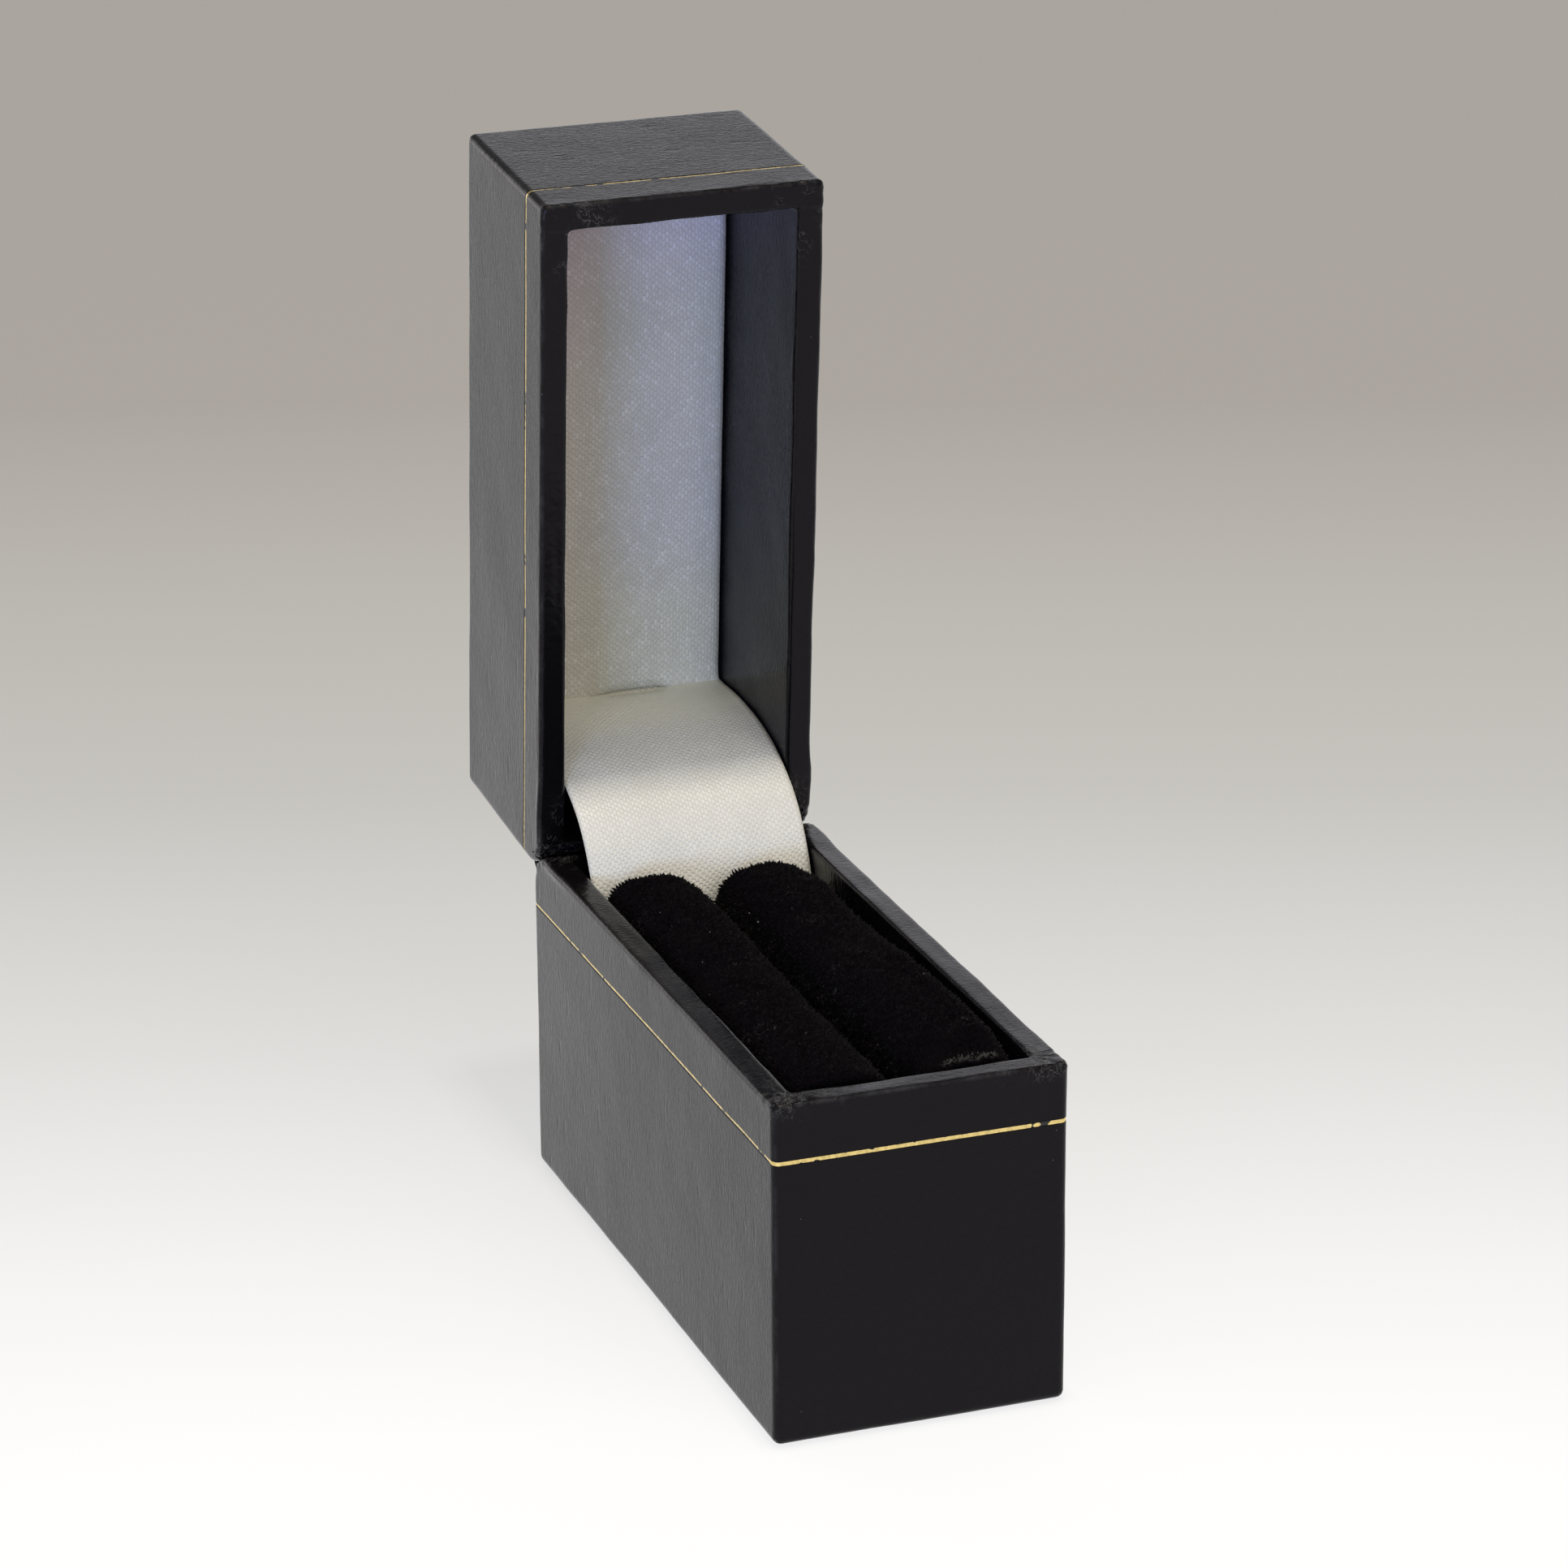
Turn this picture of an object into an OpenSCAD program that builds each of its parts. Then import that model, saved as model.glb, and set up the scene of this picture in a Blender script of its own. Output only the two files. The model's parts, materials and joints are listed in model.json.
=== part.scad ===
// Ring display box: a slim double ring box with a lid that hinges at the back, shown open.
// Origin at the centre of the base's underside, +X to the right, front towards -Y, +Z up.
// The lid's pieces are drawn shut, in place on the base, and one module turns them open.

/* [Box] */
// Width of the box outside
body_w = 30; // [26:0.5:60]
// Length of the box outside, front to back
body_l = 73; // [58:0.5:140]
// Height of the base, from the table to the rim
base_h = 35.7; // [30:0.1:60]
// Height of the lid, from its rim to its top
lid_h = 25; // [18:0.1:45]
// How far the lid is open
lid_open = 85.6; // [60:0.1:90]
// Gap between the two rims when the box is shut
rim_gap = 0.15; // [0.1:0.05:0.5]

/* [Walls] */
// Thickness of the boards
board_t = 2.3; // [1.5:0.1:3]
// Thickness of the leatherette covering
cover_t = 0.25; // [0.15:0.05:0.5]
// Thickness of the panel pasted on the underside
paper_t = 0.2; // [0.15:0.05:0.5]
// How far that panel stays in from the sides
paper_inset = 1.6; // [1:0.1:4]
// Width of the covering turned under the base
turn_under = 6; // [3:0.5:9]
// Depth of the covering turned down inside the base
base_turn_in = 14; // [8:0.5:18]
// How far short of the lid's ceiling the covering inside the lid stops
lid_turn_stop = 1; // [0.5:0.1:1.2]

/* [Rounding] */
// Radius of the upright edges
edge_r = 1; // [0.6:0.1:2]
// Radius along the foot of the base and the top of the lid
foot_r = 0.8; // [0.5:0.1:1.5]
// Radius along the rims
rim_r = 0.6; // [0.4:0.1:1]
// Radius at the back of the foot and of the lid's top
heel_r = 2; // [1:0.1:3]
// Radius at the back of both rims, where the lid rolls over the base
roll_over_r = 4; // [3.9:0.1:5]
// Least gap between the backs of the two rims when the lid is open
roll_clear = 0.24; // [0.1:0.02:0.3]

/* [Gold line] */
// Width of the gold line
line_w = 0.45; // [0.3:0.05:1]
// Distance of the base's line below its rim
base_line_drop = 6; // [5:0.1:12]
// Distance of the lid's line from its rim
lid_line_drop = 5.25; // [5:0.05:12]
// Depth of the groove that the line is tooled in
groove_depth = 0.12; // [0.08:0.01:0.2]
// Thickness of the gold
gold_t = 0.06; // [0.03:0.01:0.08]

/* [Ring pad] */
// Gap between the two rolls
roll_gap = 0.2; // [0.1:0.02:1]
// Gap between a roll and the wall beside it
roll_side_gap = 0.28; // [0.2:0.02:1]
// Height of the rolls' tops above the rim
roll_proud = 1.8; // [0:0.1:4]
// Height of a roll, from the tray to its top
roll_h = 20; // [14:0.5:24]
// Half the width of the flatter stretch along a roll's top
roll_flat = 1; // [0.4:0.1:2]
// Radius of the rolls' rounded ends
roll_end_r = 2.8; // [1.5:0.1:4]
// How much fuller a roll is at the middle than at its ends
roll_crown = 0.2; // [0:0.05:0.6]
// How far a roll's flanks draw in at the tray
roll_draw_in = 0.6; // [0:0.1:1.5]
// Thickness of the velvet with its pile
velvet_t = 1.2; // [0.6:0.1:2]
// Distance from the outside of the back wall to the rolls
pad_back = 13; // [9:0.1:20]
// Thickness of the card
card_t = 0.8; // [0.5:0.1:1.5]
// Height of the tray's flange behind the rolls
flange_h = 6; // [4:0.5:8]
// Clearance round the pad
pad_clear = 0.3; // [0.2:0.05:0.6]

/* [Lining and strap] */
// Thickness of the satin
satin_t = 0.25; // [0.15:0.05:0.4]
// Thickness of the wadding under the satin
wadding_t = 0.55; // [0.3:0.05:1]
// Distance from the lid's back, outside, to the crease where the strap starts
crease_at = 10.3; // [8:0.1:16]
// Thickness of the strap
strap_t = 0.2; // [0.15:0.05:0.4]
// Length of the strap pasted behind the lining card
strap_tail = 10; // [5:0.5:15]
// Fullness of the strap's upper curve, as a share of the distance between its ends
strap_upper_full = 0.655; // [0.5:0.005:0.7]
// Fullness of the strap's lower curve, as a share of the same distance
strap_lower_full = 0.22; // [0.15:0.005:0.35]
// Angle at which the strap rises from its crease
strap_rise = 13.6; // [0:0.1:20]
// Clearance beside the satin
satin_clear = 0.2; // [0.15:0.05:0.5]

/* [Hinge] */
// Distance of the hinge pin behind the inner face of the back wall
pin_inset = 0.53; // [0.4:0.01:0.8]
// Radius of the hinge pin
pin_r = 0.55; // [0.4:0.05:0.6]
// Running clearance of the pin in its knuckles
pin_clear = 0.03; // [0.01:0.01:0.08]
// Outer radius of the knuckles
knuckle_r = 1; // [0.9:0.05:1.1]
// Width of the hinge
hinge_w = 15; // [12:0.5:20]
// Width of the lid leaf's knuckle
lid_knuckle_w = 7; // [5:0.5:8]
// End clearance between knuckles
knuckle_gap = 0.2; // [0.1:0.05:0.5]
// Clearance round the knuckles in the walls
knuckle_clear = 0.25; // [0.2:0.05:0.4]
// Thickness of the leaves
leaf_t = 0.45; // [0.3:0.05:0.6]
// Length of each leaf from the pin
leaf_h = 9; // [7:0.5:11]
// Thickness of the snap spring
spring_t = 0.25; // [0.15:0.05:0.4]
// Width of the snap spring
spring_w = 5; // [3:0.5:6]
// How far the spring bows away from its leaf
spring_bow = 1.1; // [0.5:0.1:2]
// How far the spring's foot stays in from the leaf's edge
spring_inset = 0.4; // [0.2:0.1:1]
// Flat length of the spring above its tack
spring_flat = 1.4; // [1.1:0.1:2]
// Distance of the spring's tip below the pin
spring_tip_drop = 0.5; // [0.3:0.1:1]
// Radius of a tack's shank
tack_r = 0.4; // [0.3:0.05:0.5]
// Radius of a tack's head
tack_head_r = 0.85; // [0.7:0.05:1.2]
// Thickness of a tack's head
tack_head_h = 0.35; // [0.2:0.05:0.5]
// How deep a tack goes into its board
tack_grip = 1.6; // [1:0.1:2]
// Clearance of a tack in its hole
tack_clear = 0.03; // [0.01:0.01:0.1]
// Distance of the outer tacks from the middle of the hinge
tack_spread = 5.6; // [4:0.1:6]
// Distance of the tacks from the pin
tack_drop = 6; // [5:0.1:7]
// Width of the hinge strip left clear at each side
strip_inset = 1; // [1:0.1:4]
// Thickness of the leatherette strip across the hinge
strip_t = 0.2; // [0.15:0.05:0.4]
// Length of the strip pasted on each back wall
strip_hold = 5; // [4:0.5:8]
// Length of the strip left loose below each rounded rim
strip_loose = 1.8; // [1:0.1:2.5]
// How far the loose strip stands out behind the box
strip_bulge = 1; // [0.7:0.05:1.1]
// Distance from the pin to the edge of the fold that is tucked between the rims
strip_tuck = 2.7; // [2.6:0.1:3.2]

/* [Hidden] */
$fn = 48;

// A hair's breadth past a face, so that a cut goes clean through
cut = 0.5;
// Clearance between pieces that lie against each other
slip = 0.02;
// Space round a foam core inside its velvet
core_slip = 0.1;

// The walls: a board with the covering on both faces
wall = board_t + 2 * cover_t;
half_w = body_w / 2;
half_l = body_l / 2;
inner_x = half_w - wall;
inner_front = -half_l + wall;
inner_back = half_l - wall;
// The outer faces of the boards, under the covering
skin = cover_t;

// The base stands on its underside panel
base_z0 = paper_t;
floor_z = base_z0 + cover_t + board_t;
// The lid, shut, from its rim to its top
lid_z0 = base_h + rim_gap;
lid_z1 = lid_z0 + lid_h;
ceiling_z = lid_z1 - cover_t - board_t;
lid_turn_z = ceiling_z - lid_turn_stop;

// The hinge axis
pin_y = inner_back + pin_inset;
pin_z = base_h + rim_gap / 2;

// The backs of the rims meet as two rounds of one radius. The least radius at which the open lid clears the
// base by roll_clear comes from how deep the pin lies in the wall, and a thicker wall needs a larger one
pin_depth = half_l - pin_y;
turn_a = 4 * sin(lid_open);
turn_b = 2 * (1 + cos(lid_open)) * rim_gap - 4 * (1 - cos(lid_open)) * pin_depth
    + 4 * sin(lid_open) * (rim_gap / 2 - pin_depth) - 4 * roll_clear;
turn_c = 2 * (1 - cos(lid_open)) * pow(pin_depth, 2) + (1 + cos(lid_open)) * pow(rim_gap, 2) / 2
    - 2 * sin(lid_open) * pin_depth * rim_gap - pow(roll_clear, 2);
least_roll_r = (sqrt(pow(turn_b, 2) - 4 * turn_a * turn_c) - turn_b) / (2 * turn_a);
rim_roll_r = max(roll_over_r, least_roll_r);

// Ring pad: the two rolls fill the width between the walls
roll_half_w = (2 * inner_x - roll_gap - 2 * roll_side_gap) / 4;
roll_x = roll_half_w + roll_gap / 2;
roll_r = roll_half_w - roll_flat - roll_crown;
roll_top = base_h + roll_proud;
roll_cz = roll_top - roll_r - roll_crown;
roll_foot = roll_top - roll_h;
roll_y1 = half_l - pad_back;
roll_y0 = inner_front + pad_clear + card_t;
tray_x = inner_x - pad_clear;
tray_y1 = roll_y1 + card_t + slip;
tray_z0 = roll_foot - slip - card_t;

// Lining: the satin's face, the card and the wadding hang from the lid's ceiling
strap_slot = strap_t + 2 * slip;
card_z1 = ceiling_z - strap_slot;
card_z0 = card_z1 - card_t;
wadding_z0 = card_z0 - wadding_t;
lining_z = wadding_z0 - satin_t;
lining_x = inner_x - satin_clear;
lining_y0 = inner_front + satin_clear;
lining_y1 = half_l - crease_at - strap_t - slip;

// ---- plain shapes ------------------------------------------------------------------------------------

// A rectangle with its own radius at each corner: lower left, lower right, upper right, upper left
module rounded(x0, y0, x1, y1, r) {
    polygon([
        [x0 + r[0], y0], [x1 - r[1], y0], [x1, y0 + r[1]], [x1, y1 - r[2]],
        [x1 - r[2], y1], [x0 + r[3], y1], [x0, y1 - r[3]], [x0, y0 + r[0]],
    ]);
    translate([x0 + r[0], y0 + r[0]]) circle(r[0]);
    translate([x1 - r[1], y0 + r[1]]) circle(r[1]);
    translate([x1 - r[2], y1 - r[2]]) circle(r[2]);
    translate([x0 + r[3], y1 - r[3]]) circle(r[3]);
}

// A box between two corners
module block(low, high) {
    translate(low) cube(high - low);
}

// Draws a shape given in Y and Z, and pulls it along X
module across(x0, x1) {
    translate([x0, 0, 0]) rotate([90, 0, 90]) linear_extrude(x1 - x0) children();
}

// The outline of a strip of even thickness that follows points in Y and Z
function unit(v) = v / norm(v);
function left_of(v) = [-v[1], v[0]];
function way(p, i) = unit(p[min(i + 1, len(p) - 1)] - p[min(i, len(p) - 2)]);
function mitre(p, i) =
    let (a = left_of(way(p, max(i - 1, 0))), b = left_of(way(p, i)))
    (a + b) / (1 + a * b);
function ribbon(p, t) = concat(
    [for (i = [0:len(p) - 1]) p[i] + mitre(p, i) * t / 2],
    [for (i = [len(p) - 1:-1:0]) p[i] - mitre(p, i) * t / 2]
);
function bezier(a, b, c, d, t) =
    pow(1 - t, 3) * a + 3 * pow(1 - t, 2) * t * b + 3 * (1 - t) * t * t * c + pow(t, 3) * d;

// Turns what is drawn on the shut lid to where the open lid holds it
module on_lid() {
    translate([0, pin_y, pin_z]) rotate([-lid_open, 0, 0]) translate([0, -pin_y, -pin_z]) children();
}
// The same turn for a point in Y and Z
function opened(p) =
    let (y = p[0] - pin_y, z = p[1] - pin_z)
    [pin_y + y * cos(lid_open) + z * sin(lid_open), pin_z - y * sin(lid_open) + z * cos(lid_open)];

// ---- the two bodies ----------------------------------------------------------------------------------

// The solid form of the base or the lid, foot down and rim up, with every face set in by d
module body_form(h, d) {
    foot = foot_r - d;
    edge = edge_r - d;
    rim = rim_r - d;
    intersection() {
        linear_extrude(h - d)
            rounded(-half_w + d, -half_l + d, half_w - d, half_l - d, [edge, edge, edge, edge]);
        across(-half_w, half_w)
            rounded(-half_l + d, d, half_l - d, h - d, [foot, heel_r - d, rim_roll_r - d, rim]);
        translate([0, half_l, 0]) rotate([90, 0, 0]) linear_extrude(body_l)
            rounded(-half_w + d, d, half_w - d, h - d, [foot, foot, rim, rim]);
    }
}

module base_form(d) {
    translate([0, 0, base_z0]) body_form(base_h - base_z0, d);
}

module lid_form(d) {
    translate([0, 0, lid_z1]) mirror([0, 0, 1]) body_form(lid_h, d);
}

// The space between the walls, with the faces set out by d, from z0 to z1
module hollow(d, z0, z1) {
    block([-inner_x - d, inner_front - d, z0], [inner_x + d, inner_back + d, z1]);
}

// Room for the knuckles, which lie in the backs of both rims
module knuckle_room() {
    across(-hinge_w / 2 - knuckle_clear, hinge_w / 2 + knuckle_clear)
        translate([pin_y, pin_z]) circle(knuckle_r + knuckle_clear);
}

// The tooled groove: a band round the body at height z
module groove(z) {
    block([-half_w - cut, -half_l - cut, z - line_w / 2], [half_w + cut, half_l + cut, z + line_w / 2]);
}

base_line_z = base_h - base_line_drop;
lid_line_z = lid_z0 + lid_line_drop;
strip_x = half_w - strip_inset;

// The stretch of the back wall where the strip lies over the line
module under_strip() {
    block([-strip_x - slip, half_l - edge_r, 0], [strip_x + slip, half_l + cut, lid_z1]);
}

// ---- base --------------------------------------------------------------------------------------------

// One wall board of the base or the lid: what a slab of space holds of the walls
module base_wall(low, high) {
    difference() {
        intersection() {
            base_form(skin + slip);
            block(low, high);
        }
        knuckle_room();
        base_tack_holes();
    }
}

side_y0 = -half_l + skin + board_t;
side_y1 = half_l - skin - board_t;
side_x = half_w - skin - board_t;

module base_bottom_board() {
    color("#8d8577") block([-side_x, side_y0, base_z0 + skin], [side_x, side_y1, floor_z]);
}
module base_front_board() {
    color("#8d8577") base_wall([-half_w, -half_l, 0], [half_w, side_y0, base_h]);
}
module base_back_board() {
    color("#8d8577") base_wall([-half_w, side_y1, 0], [half_w, half_l, base_h]);
}
module base_left_board() {
    color("#8d8577") base_wall([-half_w, side_y0, 0], [-side_x, side_y1, base_h]);
}
module base_right_board() {
    color("#8d8577") base_wall([side_x, side_y0, 0], [half_w, side_y1, base_h]);
}

module base_cover() {
    color("#232124") difference() {
        base_form(0);
        // the boards, up to the turned-over rim
        difference() {
            base_form(skin);
            hollow(skin, base_h - base_turn_in, base_h + cut);
        }
        hollow(0, base_h - base_turn_in - cut, base_h + cut);
        // the underside is open inside the turned-under margin
        block(
            [-half_w + turn_under, -half_l + turn_under, -cut],
            [half_w - turn_under, half_l - turn_under, floor_z]
        );
        difference() {
            groove(base_line_z);
            base_form(groove_depth);
            under_strip();
        }
        knuckle_room();
        base_tack_holes();
    }
}

module base_bottom_paper() {
    color("#1b1a1c") {
        block([-half_w + paper_inset, -half_l + paper_inset, 0], [half_w - paper_inset, half_l - paper_inset, paper_t]);
        // it sinks between the turned-under edges, against the board
        block(
            [-half_w + turn_under, -half_l + turn_under, 0],
            [half_w - turn_under, half_l - turn_under, base_z0 + skin]
        );
    }
}

module base_gilt_line() {
    color("#c9a95a") difference() {
        intersection() {
            groove(base_line_z);
            base_form(groove_depth - gold_t);
        }
        base_form(groove_depth);
        under_strip();
    }
}

// ---- ring pad ----------------------------------------------------------------------------------------

// Radius of a roll at y, set in by d: fullest at the middle, rounded over at both ends
function roll_radius(y, d) =
    let (
        u = (2 * y - roll_y0 - roll_y1) / (roll_y1 - roll_y0),
        reach = min(y - roll_y0 - d, roll_y1 - d - y),
        over = max(0, roll_end_r - reach)
    )
    roll_r + roll_crown * (1 - u * u) - d - roll_end_r + sqrt(max(0, roll_end_r * roll_end_r - over * over));
// Stations along a roll, close together at its ends
function roll_stations(d) =
    let (a = roll_y0 + d, b = roll_y1 - d, e = roll_end_r)
    concat(
        [for (i = [0:5]) a + e * (1 - cos(15 * i))],
        [for (i = [1:7]) a + e + (b - a - 2 * e) * i / 8],
        [for (i = [5:-1:0]) b - e * (1 - cos(15 * i))]
    );

// The form of a roll, with every face set in by d: two crowned rounds side by side with a slab between
// them, over flanks that draw in to the tray
module roll_form(d) {
    stations = roll_stations(d);
    half_side = concat(
        [[0, stations[0]]],
        [for (y = stations) [roll_radius(y, d), y]],
        [[0, stations[len(stations) - 1]]]
    );
    for (x = [-roll_flat, roll_flat])
        translate([x, 0, roll_cz]) rotate([-90, 0, 0]) rotate_extrude() polygon(half_side);
    translate([0, 0, roll_cz])
        across(-roll_flat, roll_flat) polygon([for (p = half_side) [p[1], p[0]]]);
    flank = roll_half_w - roll_crown - d;
    translate([0, roll_y1 - d - roll_end_r / 2, 0]) rotate([90, 0, 0])
        linear_extrude(roll_y1 - roll_y0 - 2 * d - roll_end_r)
        polygon([
            [-flank + roll_draw_in, roll_foot], [flank - roll_draw_in, roll_foot],
            [flank, roll_cz], [-flank, roll_cz],
        ]);
}

module velvet_roll(side) {
    color("#0d0b0f") translate([side * roll_x, 0, 0]) difference() {
        roll_form(0);
        roll_form(velvet_t);
        // the velvet is glued round the foam and open underneath
        opening_x = roll_half_w - roll_crown - roll_draw_in - velvet_t;
        block(
            [-opening_x, roll_y0 + velvet_t + roll_end_r / 2, roll_foot - cut],
            [opening_x, roll_y1 - velvet_t - roll_end_r / 2, roll_foot + cut]
        );
    }
}

module foam_core(side) {
    color("#b9b6ad") translate([side * roll_x, 0, 0]) roll_form(velvet_t + core_slip);
}

module velvet_roll_left() { velvet_roll(-1); }
module velvet_roll_right() { velvet_roll(1); }
module foam_core_left() { foam_core(-1); }
module foam_core_right() { foam_core(1); }

module pad_tray() {
    color("#5b5750") {
        block([-tray_x, roll_y0 - card_t, tray_z0], [tray_x, tray_y1, tray_z0 + card_t]);
        // flange behind the rolls, which the strap is glued to
        block([-tray_x, tray_y1 - card_t, tray_z0], [tray_x, tray_y1, tray_z0 + card_t + flange_h]);
    }
}

module pad_riser() {
    color("#6a655c") difference() {
        block([-tray_x, roll_y0 - card_t, floor_z], [tray_x, tray_y1, tray_z0]);
        block(
            [-tray_x + card_t, roll_y0, floor_z - cut],
            [tray_x - card_t, tray_y1 - card_t, tray_z0 - card_t]
        );
    }
}

// ---- lid ---------------------------------------------------------------------------------------------

module lid_wall(low, high) {
    color("#8d8577") on_lid() difference() {
        intersection() {
            lid_form(skin + slip);
            block(low, high);
        }
        knuckle_room();
        lid_tack_holes();
    }
}

module lid_top_board() {
    color("#8d8577") on_lid() block([-side_x, side_y0, ceiling_z], [side_x, side_y1, lid_z1 - skin]);
}
module lid_front_board() { lid_wall([-half_w, -half_l, lid_z0], [half_w, side_y0, lid_z1]); }
module lid_back_board() { lid_wall([-half_w, side_y1, lid_z0], [half_w, half_l, lid_z1]); }
module lid_left_board() { lid_wall([-half_w, side_y0, lid_z0], [-side_x, side_y1, lid_z1]); }
module lid_right_board() { lid_wall([side_x, side_y0, lid_z0], [half_w, side_y1, lid_z1]); }

module lid_cover() {
    color("#232124") on_lid() difference() {
        lid_form(0);
        difference() {
            lid_form(skin);
            hollow(skin, lid_z0 - cut, lid_turn_z);
        }
        hollow(0, lid_z0 - cut, lid_turn_z + cut);
        difference() {
            groove(lid_line_z);
            lid_form(groove_depth);
            under_strip();
        }
        knuckle_room();
        lid_tack_holes();
    }
}

module lid_gilt_line() {
    color("#c9a95a") on_lid() difference() {
        intersection() {
            groove(lid_line_z);
            lid_form(groove_depth - gold_t);
        }
        lid_form(groove_depth);
        under_strip();
    }
}

module lining_card() {
    color("#c9c5b8") on_lid() block(
        [-lining_x + satin_t, lining_y0 + satin_t, card_z0],
        [lining_x - satin_t, lining_y1 - satin_t, card_z1]
    );
}
module lining_wadding() {
    color("#e8e6df") on_lid() block(
        [-lining_x + satin_t, lining_y0 + satin_t, wadding_z0],
        [lining_x - satin_t, lining_y1 - satin_t, card_z0]
    );
}
module satin_lining() {
    color("#d9d8d2") on_lid() difference() {
        block([-lining_x, lining_y0, lining_z], [lining_x, lining_y1, card_z1]);
        block(
            [-lining_x + satin_t, lining_y0 + satin_t, wadding_z0],
            [lining_x - satin_t, lining_y1 - satin_t, card_z1 + cut]
        );
    }
}

// ---- hinge -------------------------------------------------------------------------------------------

leaf_y = inner_back - leaf_t;
// Where a leaf stops short of the other leaf's knuckle
leaf_start = knuckle_r + knuckle_clear;
base_knuckle_x = lid_knuckle_w / 2 + knuckle_gap;

// A knuckle from x0 to x1, with the bore for the pin
module knuckle(x0, x1) {
    across(x0, x1) translate([pin_y, pin_z]) circle(knuckle_r);
}
module pin_bore() {
    across(-hinge_w, hinge_w) translate([pin_y, pin_z]) circle(pin_r + pin_clear);
}

// Three tacks go through a leaf and its covering into the board, from the box's inside
tack_x = [-tack_spread, 0, tack_spread];
tack_l = leaf_t + skin + tack_grip;
module tack_place(x, z) {
    translate([x, leaf_y, z]) rotate([-90, 0, 0]) children();
}
module tack_holes(z) {
    for (x = tack_x) tack_place(x, z)
        translate([0, 0, -cut]) cylinder(h = cut + tack_l + slip, r = tack_r + tack_clear);
}
module base_tack_holes() { tack_holes(pin_z - tack_drop); }
module lid_tack_holes() { tack_holes(pin_z + tack_drop); }

module hinge_base_leaf() {
    color("#9a9a98") difference() {
        union() {
            block([-hinge_w / 2, leaf_y, pin_z - leaf_h], [hinge_w / 2, inner_back, pin_z - leaf_start]);
            for (side = [-1, 1]) {
                x0 = side < 0 ? -hinge_w / 2 : base_knuckle_x;
                x1 = side < 0 ? -base_knuckle_x : hinge_w / 2;
                block([x0, leaf_y, pin_z - leaf_start - slip], [x1, inner_back, pin_z]);
                knuckle(x0, x1);
            }
        }
        pin_bore();
        base_tack_holes();
    }
}

module hinge_lid_leaf() {
    color("#9a9a98") on_lid() difference() {
        union() {
            block([-hinge_w / 2, leaf_y, pin_z + leaf_start], [hinge_w / 2, inner_back, pin_z + leaf_h]);
            block([-lid_knuckle_w / 2, leaf_y, pin_z], [lid_knuckle_w / 2, inner_back, pin_z + leaf_start + slip]);
            knuckle(-lid_knuckle_w / 2, lid_knuckle_w / 2);
        }
        pin_bore();
        lid_tack_holes();
    }
}

module hinge_pin() {
    color("#b5b5b2") across(-hinge_w / 2 - knuckle_gap, hinge_w / 2 + knuckle_gap)
        translate([pin_y, pin_z]) circle(pin_r);
}

// The spring lies on the leaf, bows away from it and comes back to press on the lid's knuckle
spring_foot = pin_z - leaf_h + spring_inset;
spring_turn = pin_z - tack_drop + spring_flat;
spring_tip = pin_z - spring_tip_drop;
spring_steps = 12;
spring_path = concat(
    [[leaf_y - spring_t / 2, spring_foot]],
    [for (i = [0:spring_steps])
        let (t = i / spring_steps)
        [leaf_y - spring_t / 2 - slip * t - spring_bow * pow(sin(180 * t), 2),
         spring_turn + (spring_tip - spring_turn) * t]]
);

module hinge_spring() {
    color("#86898c") difference() {
        across(-spring_w / 2, spring_w / 2) polygon(ribbon(spring_path, spring_t));
        base_tack_holes();
    }
}

// A tack, point along +Z, with its head stood off the leaf by lift
module tack(lift) {
    translate([0, 0, -lift]) cylinder(h = lift + tack_l, r = tack_r);
    translate([0, 0, -lift - tack_head_h]) cylinder(h = tack_head_h, r = tack_head_r);
}

// The middle one on the base holds the spring too
module hinge_base_tacks() {
    color("#b9a46a") for (x = tack_x) tack_place(x, pin_z - tack_drop) tack(x == 0 ? spring_t : 0);
}

module hinge_lid_tacks() {
    color("#b9a46a") on_lid() for (x = tack_x) tack_place(x, pin_z + tack_drop) tack(0);
}

// ---- across the hinge --------------------------------------------------------------------------------

// The strap: pasted behind the lining card, round the card's end, then a free loop down to the tray
strap_z = card_z1 + strap_slot / 2;
strap_y = half_l - crease_at - strap_t / 2;
strap_top = opened([strap_y, lining_z]);
strap_foot = [tray_y1 + strap_t / 2 + slip, tray_z0 + card_t + flange_h];
strap_span = norm(strap_foot - strap_top);
strap_steps = 24;
strap_path = concat(
    [opened([strap_y - strap_tail, strap_z]), opened([strap_y, strap_z])],
    [for (i = [0:strap_steps])
        bezier(
            strap_top,
            strap_top + strap_upper_full * strap_span * [-cos(strap_rise), sin(strap_rise)],
            strap_foot + [0, strap_lower_full * strap_span],
            strap_foot,
            i / strap_steps
        )],
    [[strap_foot[0], tray_z0]]
);

module satin_strap() {
    color("#dcdacf") across(-lining_x, lining_x) polygon(ribbon(strap_path, strap_t));
}

// The strip: pasted on both backs. Between them it stands out, and the slack that it needs when the box is
// shut is tucked in a fold between the rims. Its lid half mirrors its base half across the hinge
strip_gap = strip_t / 2 + slip;
strip_free = [half_l + strip_gap, base_h - rim_roll_r - strip_loose];
fold_way = opened([pin_y + 1, pin_z]) - [pin_y, pin_z] + [1, 0];
fold_edge = [pin_y, pin_z] + strip_tuck * unit(fold_way) - 0.85 * strip_t * left_of(unit(fold_way));
strip_steps = 12;
strip_half = concat(
    [[strip_free[0], base_h - rim_roll_r - strip_hold]],
    [for (i = [0:strip_steps])
        bezier(
            strip_free,
            strip_free + [0, strip_loose],
            [half_l + 3 * strip_bulge, base_h - rim_roll_r - 0.8 * strip_bulge],
            fold_edge,
            i / strip_steps
        )]
);
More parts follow.
